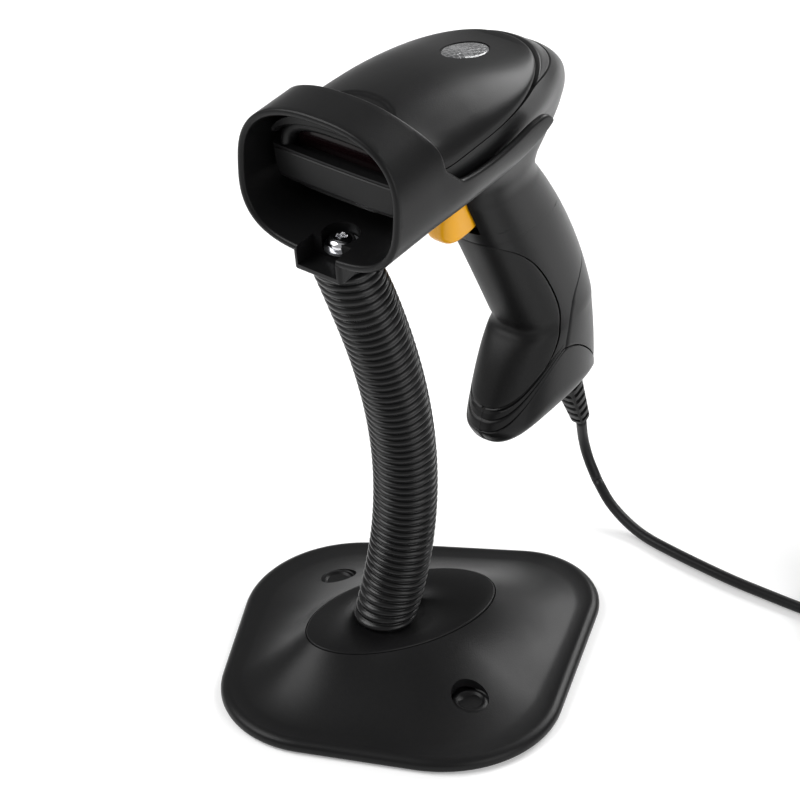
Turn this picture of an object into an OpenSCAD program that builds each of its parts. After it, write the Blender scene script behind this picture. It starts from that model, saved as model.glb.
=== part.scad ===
// Corded handheld barcode scanner resting in a gooseneck desk stand.
// Millimetres, +Z up, origin at the middle of the base on the desk, nose towards -Y.

/* [Base] */
// Half width of the base outline, measured to its unrounded side corners
base_side = 87; // [75:1:105]
// Length of the base outline in front of the middle, to its unrounded corner
base_front = 84; // [75:1:100]
// Length of the base outline behind the middle, to its unrounded corner
base_back = 103; // [90:1:120]
// Height of the dome where the trim plate sits
dome_h = 21; // [17:0.5:28]
// Wall of the base cover
base_wall = 2.4; // [1.8:0.1:3]
// Half width of the oval trim plate
trim_x = 21; // [18:0.5:26]
// Half length of the oval trim plate
trim_y = 38; // [32:0.5:46]
// How far the trim plate stands proud of the dome
trim_rise = 0.5; // [0.2:0.1:1.5]
// Distance between the two desk screw holes
desk_hole_spacing = 86; // [78:1:96]
// Diameter of a desk screw hole
desk_hole_d = 5; // [4:0.1:6]
// Diameter of the pocket round a desk screw head
desk_pocket_d = 13.6; // [11:0.1:16]
// Thickness of the rubber mat under the base
mat_t = 2; // [1.5:0.1:3]
// Thickness of the steel ballast plate
ballast_t = 4; // [3:0.1:6]

/* [Gooseneck] */
// Outside diameter of the ribbed sleeve
neck_d = 23; // [20:0.5:26]
// Depth of the grooves between the ribs
rib_depth = 1.5; // [0.8:0.1:2]
// Number of ribs along the sleeve
ribs = 55; // [30:1:70]
// Wall of the sleeve under its grooves
sleeve_wall = 1.6; // [1.2:0.1:2.4]
// Diameter of the flexible steel core
core_d = 12; // [9:0.5:14]
// Thread diameter of the stud at each end of the core
stud_d = 8; // [6:0.5:9]

/* [Cup] */
// Outside half width of the cup
cup_x = 33; // [31.5:0.5:37]
// Height of the cup above its middle
cup_up = 24.6; // [23.5:0.1:30]
// Depth of the cup below its middle
cup_down = 25.4; // [24:0.1:30]
// Wall of the cup
cup_wall = 2.6; // [2:0.1:3]
// Length of the closed ring of the cup
ring_len = 19.5; // [16:0.5:24]
// How much longer the ring is down its sides
ring_rake = 5; // [3:0.5:8]
// How far the side arms reach behind the rim
arm_reach = 82.5; // [70:0.5:95]
// How far the floor of the cup reaches behind the rim
floor_reach = 42; // [30:1:48]
// Depth of the trough under the ring
trough_drop = 6.4; // [5:0.1:9]
// Half width of the trough
trough_x = 10; // [8.5:0.5:12]

/* [Scanner head] */
// Half width of the head
head_x = 30.2; // [28:0.1:30.3]
// Distance of the nose behind the rim of the cup
nose_y = 10; // [7:0.5:14]
// Distance of the bulge at the back of the head behind the rim of the cup
head_back = 125.5; // [118:0.5:130]
// Height of the crown above the middle of the cup
crown_up = 18.7; // [16:0.1:20]
// How far the crown falls towards the back
crown_fall = 12.6; // [8:0.1:14]
// Wall of the moulded casings
wall = 2; // [1.6:0.1:2.4]
// Gap left in every parting line
seam = 0.25; // [0.15:0.05:0.4]
// Half width of the scan window
window_x = 24; // [18:0.5:25]
// Height of the scan window
window_h = 12.6; // [9:0.1:13]
// Thickness of the lip over the scan window
lip_t = 4; // [2:0.1:5]
// Length of the oval lamp window
lamp_len = 17; // [12:0.5:20]

/* [Handle] */
// Half width of the handle
grip_x = 15; // [13.5:0.5:17]
// Depth below the middle of the cup where the handle starts
root_drop = 45; // [40:1:50]
// Length of the handle below its start
grip_len = 109; // [95:1:120]
// How far the toe of the handle sticks forward
toe_reach = 35; // [20:1:40]
// Thickness of the soft grip pad
pad_t = 1.8; // [1.2:0.1:2.2]
// Width of the trigger
trigger_w = 12; // [9:0.5:14]

/* [Cable] */
// Diameter of the cable
cable_d = 4.2; // [3.6:0.1:5]
// Length of the strain relief
relief_len = 35; // [20:1:40]

/* [Hidden] */
$fn = 48;

black = "#1b1b1c";
dark = "#26272a";
steel = "#a9adb2";
board = "#1f6b3a";

// where the head sits: middle of the cup rim, then its tilt and its turn
head_pos = [10, -37.6, 212.8];
head_tilt = 6.5;
head_turn = 18;
module in_head() {
    translate(head_pos) rotate([head_tilt, 0, head_turn]) children();
}
function to_world(p) =
    let (c = cos(head_tilt), s = sin(head_tilt), a = cos(head_turn), b = sin(head_turn),
         y = c * p[1] - s * p[2], z = s * p[1] + c * p[2])
    head_pos + [a * p[0] - b * y, b * p[0] + a * y, z];

// ---- shared geometry ----
function clamp(v, lo = 0, hi = 1) = min(hi, max(lo, v));
function mix(a, b, s) = a * (1 - s) + b * s;
function ease(s) = let (t = clamp(s)) t * t * (3 - 2 * t);
function spow(v, n) = sign(v) * pow(abs(v), n);
function unit(v) = v / norm(v);

// side triangles between rows a and b of m points, whose first point has index o
function band(o, a, b, m, wrap) =
    [for (j = [0:1:wrap ? m - 1 : m - 2]) let (k = (j + 1) % m, p = o + a * m, q = o + b * m)
        each [[p + j, p + k, q + k], [p + j, q + k, q + j]]];

// closed solid through a list of rings, capped flat at both ends
module skin(rings) {
    m = len(rings[0]);
    n = len(rings);
    polyhedron(points = [for (r = rings) each r], convexity = 8,
        faces = concat([[for (j = [m - 1:-1:0]) j]],
                       [for (i = [0:n - 2]) each band(0, i, i + 1, m, true)],
                       [[for (j = [0:m - 1]) (n - 1) * m + j]]));
}

// ring-shaped solid: the last ring joins the first
module tube_skin(rings) {
    m = len(rings[0]);
    n = len(rings);
    polyhedron(points = [for (r = rings) each r], convexity = 8,
        faces = [for (i = [0:n - 1]) each band(0, i, (i + 1) % n, m, true)]);
}

// the two triangles that close a sheet's edge from point a to point b
function edge(a, b, q) = [[a, b, q + b], [a, q + b, q + a]];

// sheet with a wall: outer and inner are grids of rows, closed along their four edges
module sheet(outer, inner) {
    n = len(outer);
    m = len(outer[0]);
    q = n * m;
    polyhedron(points = concat([for (r = outer) each r], [for (r = inner) each r]),
        convexity = 8,
        faces = concat([for (i = [0:n - 2]) each band(0, i, i + 1, m, false)],
                       [for (i = [0:n - 2], f = band(q, i, i + 1, m, false))
                           [f[2], f[1], f[0]]],
                       [for (j = [0:m - 2]) each edge(j + 1, j, q)],
                       [for (j = [0:m - 2]) let (e = (n - 1) * m + j) each edge(e, e + 1, q)],
                       [for (i = [0:n - 2]) let (e = i * m) each edge(e, e + m, q)],
                       [for (i = [0:n - 2]) let (e = i * m + m - 1) each edge(e + m, e, q)]));
}

// rings swept along a path: each profile row is [distance index, radius]
function frame_at(path, i) =
    unit(path[min(i + 1, len(path) - 1)] - path[max(i - 1, 0)]);
function circle_on(p, t, r, m, up = [1, 0, 0]) =
    let (a = unit(cross(t, up)), b = cross(t, a))
    [for (j = [0:m - 1]) p + r * (cos(360 * j / m) * b - sin(360 * j / m) * a)];

// ---- base outline ----
base_mid_y = -3;
base_corners = [[0, -base_front], [base_side, base_mid_y], [0, base_back],
                [-base_side, base_mid_y]];
base_radii = [37, 45, 30, 45];
corner_steps = 9;
// outline of the base moved inwards by d: each corner is an arc about its own centre
function outline(d, z) =
    [for (i = [0:3])
        let (v = base_corners[i], a = base_corners[(i + 3) % 4], b = base_corners[(i + 1) % 4],
             p = unit(a - v), q = unit(b - v), half = acos(p * q) / 2,
             c = v + unit(p + q) * base_radii[i] / sin(half),
             mid = atan2(v[1] - c[1], v[0] - c[0]), sweep = 90 - half)
        for (k = [0:corner_steps]) let (t = mid - sweep + 2 * sweep * k / corner_steps)
            [c[0] + (base_radii[i] - d) * cos(t), c[1] + (base_radii[i] - d) * sin(t), z]];
base_n = len(outline(0, 0));
trim_mid = [-0.4, 1.5];
trim_turn = -5.8;
// oval with the same number of points as the outline, each on the outline's own bearing
function oval(rx, ry, z) =
    [for (p = outline(0, 0))
        let (t = atan2(p[1] - trim_mid[1], p[0] - trim_mid[0]) - trim_turn,
             r = 1 / sqrt(pow(cos(t) / rx, 2) + pow(sin(t) / ry, 2)))
        [trim_mid[0] + r * cos(t + trim_turn), trim_mid[1] + r * sin(t + trim_turn), z]];
function blend_ring(d, s, z, grow = 0) =
    let (a = outline(d, z), b = oval(trim_x + grow, trim_y + grow, z))
    [for (i = [0:base_n - 1]) mix(a[i], b[i], s)];

cover_low = 0.8;
rim_top = 4.6;
dome_steps = 6;
ballast_top = mat_t + ballast_t;
trim_t = 2.4;
function dome_z(s) = rim_top + (dome_h - rim_top) * pow(s, 1.65);
neck_foot = [-1.1, -5.6];
desk_mid_y = 1.5;
stud_hole = stud_d / 2 + 0.2;
seat_z = dome_h - trim_t + trim_rise;

module at_desk_holes() {
    for (s = [-1, 1]) translate([s * desk_hole_spacing / 2, desk_mid_y, 0]) children();
}
// inner side of the cover: it is solid down to the ballast round each desk screw
function cover_inside(k) = let (s = k / dome_steps)
    [for (p = blend_ring(3 + base_wall, s, dome_z(s) - base_wall))
        let (near = norm([abs(p[0]) - desk_hole_spacing / 2, p[1] - desk_mid_y]) < 11.5)
        [p[0], p[1], near ? ballast_top + 0.1 : p[2]]];
module base_cover() {
    color(black) difference() {
        skin(concat(
            [oval(trim_x - 2 * base_wall, trim_y - 2 * base_wall, seat_z - base_wall)],
            [for (k = [dome_steps - 1:-1:0]) cover_inside(k)],
            [outline(base_wall, rim_top - base_wall), outline(base_wall - 0.4, cover_low)],
            [outline(1, cover_low), outline(0, 2.2), outline(0, 3.2), outline(1.1, rim_top)],
            [for (k = [0:dome_steps]) let (s = k / dome_steps)
                blend_ring(3, s, dome_z(s) + (k == 0 ? 0.7 : 0))],
            [oval(trim_x, trim_y, seat_z)]));
        at_desk_holes() {
            translate([0, 0, ballast_top + 1.6]) cylinder(d = desk_pocket_d, h = 20);
            cylinder(d = desk_hole_d, h = 20);
        }
        translate([neck_foot[0], neck_foot[1], seat_z - 8]) cylinder(r = stud_hole, h = 16);
    }
}

module base_trim() {
    color(dark) difference() {
        skin([oval(trim_x - 0.3, trim_y - 0.3, seat_z),
              oval(trim_x - 0.3, trim_y - 0.3, dome_h),
              oval(trim_x - 0.6, trim_y - 0.6, dome_h + trim_rise)]);
        translate([neck_foot[0], neck_foot[1], seat_z - 1]) cylinder(d = ferrule_d + 0.2, h = 9);
    }
}

module at_neck_foot() {
    translate([neck_foot[0], neck_foot[1], 0]) children();
}
nut_h = 3;
nut_wide = 15;
module ballast_plate() {
    color(steel) translate([0, 0, mat_t]) difference() {
        linear_extrude(ballast_t) polygon([for (p = blend_ring(3 + base_wall, 0.5, 0)) [p[0], p[1]]]);
        at_desk_holes() translate([0, 0, -1]) cylinder(d = desk_hole_d, h = ballast_t + 2);
        at_neck_foot() translate([0, 0, -1]) cylinder(r = stud_hole, h = ballast_t + 2);
        at_neck_foot() translate([0, 0, -1]) cylinder(d = nut_wide + 1, h = nut_h + 1.1);
    }
}
module anti_slip_mat() {
    color("#101010") difference() {
        linear_extrude(mat_t) polygon([for (p = outline(base_wall + 0.6, 0)) [p[0], p[1]]]);
        at_desk_holes() translate([0, 0, -1]) cylinder(d = desk_hole_d, h = mat_t + 2);
    }
}
module neck_nut() {
    color(steel) at_neck_foot() translate([0, 0, mat_t + 0.1]) difference() {
        cylinder(d = nut_wide, h = nut_h, $fn = 6);
        translate([0, 0, -1]) cylinder(d = stud_d, h = nut_h + 2);
    }
}
module neck_spacer() {
    color(steel) at_neck_foot() translate([0, 0, ballast_top]) difference() {
        cylinder(d = stud_d + 6, h = seat_z - base_wall - ballast_top);
        translate([0, 0, -1]) cylinder(r = stud_hole, h = 20);
    }
}

// ---- gooseneck ----
boss_low = -cup_down - trough_drop;
screw_y = 9;
ferrule_d = 17;
collar_h = 1.2;
neck_low = dome_h + trim_rise;
sleeve_low = neck_low + 0.3;
// middle of the neck: a slight lean sideways and an S forward and back
function neck_mid(s) =
    let (p = [neck_foot[0], neck_foot[1], sleeve_low],
         q = [neck_foot[0] + 2, neck_foot[1] + 16.6, mix(sleeve_low, neck_end[2], 1 / 3)],
         r = neck_end + [-1.3, 24.1, -54.8], u = 1 - s)
    u * u * u * p + 3 * u * u * s * q + 3 * u * s * s * r + s * s * s * neck_end;
neck_end = to_world([-0.3, screw_y, boss_low - collar_h - 0.2]);
head_up = to_world([0, 0, 1]) - to_world([0, 0, 0]);
// the sleeve stands square on the trim plate and square to the cup
function neck_dir(path, i) = let (s = i / (len(path) - 1), t = frame_at(path, i))
    unit(mix(mix([0, 0, 1], t, ease(s / 0.12)), head_up, ease((s - 0.85) / 0.15)));
sleeve_sides = 12;
neck_n = 2 * ribs;
neck_path = [for (i = [0:neck_n]) neck_mid(i / neck_n)];
core_steps = 16;
core_path = [for (i = [0:core_steps]) neck_mid(i / core_steps)];

module neck_sleeve() {
    bore = neck_d / 2 - rib_depth - sleeve_wall;
    color(black) tube_skin(concat(
        [for (i = [0:neck_n]) circle_on(neck_path[i], neck_dir(neck_path, i),
            i % 2 == 0 ? neck_d / 2 - rib_depth : neck_d / 2, sleeve_sides)],
        [for (i = [core_steps:-1:0])
            circle_on(core_path[i], neck_dir(core_path, i), bore, sleeve_sides)]));
}
module neck_core() {
    color(steel) skin([for (i = [0:core_steps])
        circle_on(core_path[i], neck_dir(core_path, i), core_d / 2, 8)]);
}
module lower_ferrule() {
    color(steel) at_neck_foot() {
        translate([0, 0, seat_z]) cylinder(d = ferrule_d, h = sleeve_low - seat_z);
        translate([0, 0, mat_t + 0.1]) cylinder(d = stud_d - 0.1, h = seat_z - mat_t);
    }
}

// ---- cup ----
module at_neck_top() {
    in_head() translate([-0.3, screw_y, 0]) children();
}
module upper_ferrule() {
    color(steel) at_neck_top() {
        translate([0, 0, boss_low - collar_h]) cylinder(d = ferrule_d, h = collar_h);
    }
}
function rim_y(z) = -1.2 + 0.13 * z;
// cross-section of the cup as a ring at distance y, moved inwards by d
cup_n = 40;
function cup_pt(t, y, d) =
    let (n = sin(t) > 0 ? 2.5 : 3, x = (cup_x - d) * spow(cos(t), 2 / n),
         z = ((sin(t) > 0 ? cup_up : cup_down) - d) * spow(sin(t), 2 / n))
    [x, y + (y < 5 ? rim_y(z) : 0), z];
// the rear edge of the ring leans back down its sides and curls into the slots over the arms
function rake(z) = ring_rake * ease((cup_up - z) / 16) + 4 * ease((5 - z) / 6);
function cup_ring(y, d, lean = 0) = [for (j = [0:cup_n - 1])
    let (p = cup_pt(360 * j / cup_n, y, d)) [p[0], p[1] + lean * rake(p[2]), p[2]]];
function arm_pt(t, y, d, s) = cup_pt(t, y, d) + [0.8 * s, 0, 0];
arm_rows = 9;
module arm(side) {
    function top_t(b) = -3 - 3 * sin(180 * clamp((arm_reach - 12.5 - b) / 40)) - 7 * pow(tip(b), 2);
    function low_t(b) = -46 + 34 * pow(clamp((b - arm_reach / 2 - 5) / (arm_reach / 2 - 5)), 1.5);
    function tip(b) = clamp((b - arm_reach + 6.5) / 6.5);
    function row(s, d) = let (b = mix(ring_len, arm_reach, 1 - pow(1 - s, 1.25)))
        [for (k = [0:6]) arm_pt(mix(low_t(b), top_t(b), k / 6), b, d, ease(s * 3))];
    mirror([side > 0 ? 0 : 1, 0, 0]) sheet([for (i = [0:arm_rows]) row(i / arm_rows, 0)],
                                           [for (i = [0:arm_rows]) row(i / arm_rows, cup_wall - 0.2)]);
}
// the floor of the cup runs on behind the ring with a curved rear edge
module cup_floor() {
    function row(s, d) = [for (k = [-6:6]) let (t = -90 + 8.5 * k,
        y = mix(ring_len - 3, floor_reach - 7 * pow(k / 6, 2), s)) cup_pt(t, y, d)];
    sheet([for (s = [0:5]) row(s / 5, 0.25)], [for (s = [0:5]) row(s / 5, cup_wall - 0.4)]);
}
module cup() {
    color(black) in_head() difference() {
        union() {
            cup_floor();
            tube_skin([cup_ring(0, 0.5), cup_ring(0.6, 0), cup_ring(ring_len * 0.5, 0),
                       cup_ring(ring_len, 0, 1), cup_ring(ring_len, cup_wall, 1),
                       cup_ring(ring_len * 0.5, cup_wall), cup_ring(0.3, cup_wall - 0.3)]);
            arm(1);
            arm(-1);
            hull() for (s = [-1, 1]) {
                translate([s * (trough_x - 1.6), -3.2, boss_low])
                    cylinder(r = 1.4, h = trough_drop, $fn = 16);
                translate([s * (trough_x - 4.5), 18, boss_low])
                    cylinder(r = 4, h = trough_drop + 3, $fn = 16);
            }
        }
        translate([-0.3, screw_y, boss_low - 1]) cylinder(d = stud_d, h = 14);
        translate([-trough_x + 2, -8, boss_low + 2]) cube([2 * trough_x - 4, 12, trough_drop + 2]);
        translate([-0.3, screw_y, boss_low + 4]) cylinder(d = 13, h = 8);
    }
}
module cup_washer() {
    color(steel) at_neck_top() translate([0, 0, boss_low + 4]) difference() {
        cylinder(d = 12, h = 1);
        translate([0, 0, -1]) cylinder(d = stud_d, h = 3);
    }
}
module cup_screw() {
    color("#d9dbde") at_neck_top() {
        difference() {
            translate([0, 0, boss_low + 5]) cylinder(d1 = 9.6, d2 = 7, h = 3.2);
            for (a = [0, 90]) rotate([0, 0, a + 20])
                translate([-2.6, -0.5, boss_low + 6.6]) cube([5.2, 1, 3]);
        }
        translate([0, 0, boss_low]) cylinder(d = stud_d - 0.2, h = 5);
    }
}

// ---- scanner body: level slices from the parting line down to the foot ----
mid_y = 47;
part_z = 1.5;
root_z = -root_drop;
foot_z = root_z - grip_len;
// drop below the start of the handle, for a slice at height z
function below(z) = root_z - z;
function grip_back(t) = 106 + 0.68 * t - 0.0034 * t * t;
function toe(t) = toe_reach * pow(clamp((t - 65) / 35), 0.75);
function grip_front(t) = 66 + 0.41 * t - toe(t);
function slice_back(z) = z < root_z ? grip_back(below(z)) :
    lookup(z, [[root_z, 106], [-40, 105], [-36, 106.5], [-30, head_back - 11], [-26, head_back - 5],
               [-22, head_back - 1.5], [-18, head_back], [-14, head_back - 1],
               [-10, head_back - 4], [-6, head_back - 8.2], [-2, head_back - 13.7],
               [2, head_back - 19], [5, head_back - 24.5]]);
function slice_front(z) = z < root_z ? grip_front(below(z)) :
    lookup(z, [[root_z, 66], [-38, 64], [-30, 60], [-24, 51], [-18, 36], [-13, 22],
               [-9, nose_y - 8]]);
function slice_x(z) = z < root_z ? grip_x :
    lookup(z, [[root_z, grip_x], [-38, 16], [-30, 18.2], [-22, 21.8], [-14, 26.4],
               [-6, head_x - 0.5], [part_z, head_x]]);
// 1 in the head and 0 in the handle
function headness(z) = ease((z + 38) / 26);
// the back half of a slice is round, the front half is squarer
function slice_pt(z, t, d) =
    let (h = headness(z), yf = slice_front(z), yb = slice_back(z),
         yc = mix((yf + yb) / 2, mid_y + (z < 0 ? -z * 0.4 : 0), h),
         n = sin(t) > 0 ? mix(2.3, 2.15, h) : mix(2.5, 4.5, h),
         x = (slice_x(z) - d) * pow(max(0, cos(t)), 2 / n),
         y = yc + ((sin(t) > 0 ? yb - yc : yc - yf) - d) * spow(sin(t), 2 / n))
    [max(x, seam / 2), max(y, nose_y + d + x * x / 1500), z];

// height added to the parting line near the cup and towards the back
function part_lift(y) = 3.2 * exp(-pow((y - 18) / 7, 2)) + 1.5 * pow(clamp((y - 70) / 36), 1.6);
function crescent(y) = 6.2 * ease((y - 80) / 24);
function groove_w(y) = 0.5 + 1.5 * ease((y - 55) / 40);
// line of the foot cap along the side of the handle
function foot_line(y) = mix(-143, -127.5, ease((y - 70) / 40)) - 22 * pow(clamp((y - 113) / 26), 1.2);
// Levels down the body: above level_low a level is a height. Below it the levels run on to
// level_low - 1, which is the curved edge of the foot cap.
level_low = -118;
function shape_pt(lv, t, d) =
    let (v = clamp(level_low - lv), z = lv >= level_low ? lv : mix(level_low, -140, v),
         p = slice_pt(z, t, d), top = ease((z + 14) / (14 + part_z)))
    lv >= level_low
    ? slice_pt(z + top * (part_lift(p[1]) - crescent(p[1]) - seam), t, d)
    : slice_pt(mix(level_low, foot_line(p[1]), v), t, d);

// distance along y of the edge of the grip pad and of the spine cover, at a level
function pad_edge(lv) = lookup(lv, [[-118.72, 99], [-118.5, 104], [level_low, 106.6],
    [-108, 106.4], [-98, 103], [-87, 97.6], [-76, 89.4], [-69, 82], [-64, 74]]);
function spine_edge(lv) = lookup(lv, [[-119, 108], [level_low, 112], [-107, 115],
    [-101, 120], [-94, 129]]);
// angle round the slice at which the side reaches the distance y
function angle_at(lv, y) =
    let (z = lv >= level_low ? lv : mix(level_low, -140, level_low - lv),
         yf = slice_front(z), yb = slice_back(z), yc = (yf + yb) / 2,
         n = y > yc ? 2.3 : 2.5, q = clamp((y - yc) / (y > yc ? yb - yc : yc - yf), -1, 1))
    asin(spow(q, n / 2));

// ---- trigger slot ----
slot_half = trigger_w / 2 + 1.2;
slot_top = -29;
slot_low = -62;
function in_slot(z) = z < slot_top && z > slot_low;
function front_angle(z) = in_slot(z) ?
    -acos(pow(slot_half / slice_x(z), mix(2.5, 4.5, headness(z)) / 2)) : -90;

// one half of the lower housing: recessed under the grip pad and the spine cover
step = 0.05;
pad_top = -64;
pad_low = level_low - 0.72;
spine_top = -94;
housing_levels = [part_z, -3, -8, -13, -18, -23, slot_top + step, slot_top - step, -36, -44, -53,
                  slot_low + step, slot_low - step, pad_top + step, pad_top - step, -70, -77, -85,
                  spine_top + step, spine_top - step, -101, -108, level_low + 1, level_low - 0.35,
                  pad_low + step, pad_low - step, level_low - 1];
function under_pad(lv) = lv < pad_top && lv > pad_low;
function under_spine(lv) = lv < spine_top;
function half_row(lv, d) =
    let (a = front_angle(lv), b = under_pad(lv) ? angle_at(lv, pad_edge(lv)) : -9,
         c = under_spine(lv) ? angle_at(lv, spine_edge(lv)) : max(40, b + 10),
         p = under_pad(lv) ? pad_t + 2 * seam : 0, q = under_spine(lv) ? pad_t + 2 * seam : 0)
    concat([for (k = [0:4]) shape_pt(lv, mix(a, b, k / 4), d + p)],
           [for (k = [0:4]) shape_pt(lv, mix(b + 0.6, c - 0.6, k / 4), d)],
           [for (k = [0:4]) shape_pt(lv, mix(c, 90, k / 4), d + q)]);
module housing_half() {
    sheet([for (lv = housing_levels) half_row(lv, 0)], [for (lv = housing_levels) half_row(lv, wall)]);
}
module housing_right() {
    color(black) in_head() housing_half();
}
module housing_left() {
    color(black) in_head() mirror([1, 0, 0]) housing_half();
}

// right half of a row, then the same points mirrored
function both(row) = concat(row, [for (i = [len(row) - 1:-1:0]) [-row[i][0], row[i][1], row[i][2]]]);

pad_levels = [pad_top - 0.2, -70, -77, -85, -94, -101, -108, level_low + 1, level_low - 0.35,
              pad_low + 0.02];
module grip_pad() {
    function row(lv, d) = let (b = angle_at(lv, pad_edge(lv)) - 0.6)
        [for (k = [-6:6]) let (p = shape_pt(lv, mix(-90, b, abs(k) / 6), d))
            [k < 0 ? -p[0] : k == 0 ? 0 : p[0], p[1], p[2]]];
    color("#161617") in_head() sheet([for (lv = pad_levels) row(lv, 0)],
                                     [for (lv = pad_levels) row(lv, pad_t)]);
}
spine_levels = [spine_top - 0.2, -101, -108, level_low + 1, level_low - 0.5, level_low - 0.92];
module spine_cover() {
    function row(lv, d) = let (c = angle_at(lv, spine_edge(lv)) + 0.6)
        [for (k = [-4:4]) let (p = shape_pt(lv, mix(90, c, abs(k) / 4), d))
            [k < 0 ? p[0] : k == 0 ? 0 : -p[0], p[1], p[2]]];
    color(dark) in_head() sheet([for (lv = spine_levels) row(lv, 0)],
                                [for (lv = spine_levels) row(lv, pad_t)]);
}

foot_steps = 12;
// ring of the foot cap: s runs from its edge at 0 to its underside at 1
function foot_ring(s, d) = both([for (k = [0:foot_steps])
    let (t = mix(-90, 90, k / foot_steps), p = shape_pt(level_low - 1, t, d),
         z = mix(p[2] - seam, foot_z, s), q = slice_pt(z, t, d)) q]);
function foot_floor(d) = [for (p = foot_ring(1, d)) [p[0], p[1], foot_z + wall]];
relief_y = 127;
module foot_cap() {
    color(black) in_head() difference() {
        skin([foot_floor(8), foot_ring(0.8, 3), foot_ring(0, wall), foot_ring(0, 0),
              foot_ring(0.6, 0), foot_ring(0.9, 1.4), foot_ring(1, 4.5)]);
        relief_axis() translate([0, 0, -12]) cylinder(d = relief_d + 0.4, h = 24);
    }
}

// ---- head covers ----
function crown(y) = crown_up - crown_fall * pow(clamp((y - 22) / 76), 1.7);
cover_mid = 52;
cover_n = 2;
rear_rise = 1.5;
cover_half = 20;
// half width of the cover at a distance y: the front arch stands on the width at its foot
arch_y = nose_y + 4;
function cover_x(y) = head_x * pow(1 - pow(clamp((mid_y - max(y, arch_y)) / (mid_y - nose_y + 8)), 4.5),
                                   1 / 4.5);
// s is 1 at the edge of the cover and 0 at its middle. The front is an open arch with a lip.
function cover_pt(s, t, d) =
    let (b = slice_pt(part_z, t, d), e = part_z + part_lift(b[1]) + groove_w(b[1]) - seam,
         p = slice_pt(e, t, d), x = max(s * p[0], seam / 2), y = mix(cover_mid, p[1], s),
         q = t < 0 ? min(1, x / (cover_x(y) - d)) : s, rise = max(crown(y) - d - e, d > 0 ? -seam : rear_rise),
         z = e + rise * pow(max(0, 1 - pow(q, cover_n)), 1 / cover_n),
         lip = d > 0 ? lip_t / crown_up * ease((nose_y + 8 - y) / 4) : 0)
    [x, y, s < 0.2 ? crown(cover_mid) - d : z - (z - e) * lip];
function cover_ring(s, d) = both([for (k = [0:cover_half]) cover_pt(s, mix(-90, 90, k / cover_half), d)]);
cover_rows = [0.1, 0.4, 0.62, 0.78, 0.9, 0.97, 1];
lamp_y = 78;
module lamp_oval(grow) {
    polygon([for (a = [0:10:350]) [(lamp_len / 3.2 + grow) * cos(a), (lamp_len / 2 + grow) * sin(a)]]);
}
module window_shape() {
    polygon([for (a = [0:9:180]) [window_x * spow(cos(a), 0.75), window_h * spow(sin(a), 0.75)]]);
}
module top_cover() {
    color(black) in_head() difference() {
        skin(concat([for (s = cover_rows) cover_ring(s, wall)],
                    [for (i = [len(cover_rows) - 1:-1:0]) cover_ring(cover_rows[i], 0)]));
        translate([0, lamp_y, 0]) linear_extrude(30) lamp_oval(0.2);
    }
}
// level of the parting line at angle t, and the point of the casing beside it
function part_pt(t, d, up) =
    slice_pt(part_z + part_lift(slice_pt(part_z, t, d)[1]) + up, t, d);
module cover_gasket() {
    function ring(d, top) = both([for (k = [0:12]) let (t = mix(18, 90, k / 12),
        y = slice_pt(part_z, t, d)[1])
        part_pt(t, d, top ? max(0.2, groove_w(y) - 3 * seam) : 0)]);
    color("#0c0c0c") in_head() sheet([ring(1, true), ring(1, false)],
                                     [ring(2, true), ring(2, false)]);
}
window_y = nose_y + wall + 5;
bumper_from = 42;
module rear_bumper() {
    function ring(d, s) = both([for (k = [0:10]) let (t = mix(bumper_from, 90, k / 10),
        y = slice_pt(part_z, t, 0)[1])
        part_pt(t, d, mix(-1.2 * seam, min(-1.4 * seam, 0.45 - crescent(y)), s))]);
    color(dark) in_head() sheet([for (s = [0:3]) ring(0, s / 3)], [for (s = [0:3]) ring(wall, s / 3)]);
}
module exit_window() {
    color("#1a0d10") in_head() translate([0, window_y, part_z])
        rotate([90, 0, 0]) linear_extrude(1.5) window_shape();
}
// height of the top of the cover over a point of its plan
function cover_z(x, y) =
    let (s = pow(pow(abs(x) / head_x, 2.15) + pow(abs(y - cover_mid) / 50, 2.15), 1 / 2.15),
         e = part_z + part_lift(y) + groove_w(y) - seam)
    e + (crown(y) - e) * pow(1 - pow(min(1, s), cover_n), 1 / cover_n);
module lamp_window() {
    function ring(g, up, deep) = [for (a = [0:15:345])
        let (x = g * lamp_len / 3.2 * cos(a), y = lamp_y + g * lamp_len / 2 * sin(a))
        [x, y, up + (deep ? crown(lamp_y) - wall - 2 : cover_z(x, y))]];
    color("#c9ced2") in_head() skin([ring(1, 0, true), ring(1, 0, false), ring(0.9, 0.3, false),
                                     ring(0.4, 0.5, false)]);
}
lamp_low = crown(lamp_y) - wall - 2;
module light_pipe() {
    color("#e6eef2") in_head() translate([0, lamp_y, board_z + board_t])
        cylinder(d = 6, h = lamp_low - board_z - board_t);
}

// ---- trigger ----
pin_y = 69;
pin_z = -35;
module trigger() {
    function ring(z, yf, yb, x) = [for (k = [0:19]) let (t = 360 * k / 20)
        [x * spow(cos(t), 0.6), (yf + yb) / 2 + (yb - yf) / 2 * spow(sin(t), 0.6), z]];
    h = trigger_w / 2;
    color("#f2a01c") in_head() difference() {
        skin([ring(-60.5, 61, 66, h - 2.5), ring(-59.6, 59, 68.5, h - 1), ring(-57, 57, 70, h),
              ring(-52, 56, 70.5, h), ring(-46, 57, 71, h), ring(-40, 59, 72, h),
              ring(-34, 60, 72.5, h), ring(-31, 62.5, 72, h)]);
        at_pin() cylinder(d = 3.3, h = 40, center = true);
        at_pin() translate([0, 0, 0]) cylinder(d = 7.4, h = 4.4, center = true);
    }
}
module at_pin() {
    translate([0, pin_y, pin_z]) rotate([0, 90, 0]) children();
}
module trigger_pin() {
    color(steel) in_head() at_pin() cylinder(d = 3, h = 2 * slot_half + 4, center = true);
}
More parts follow.
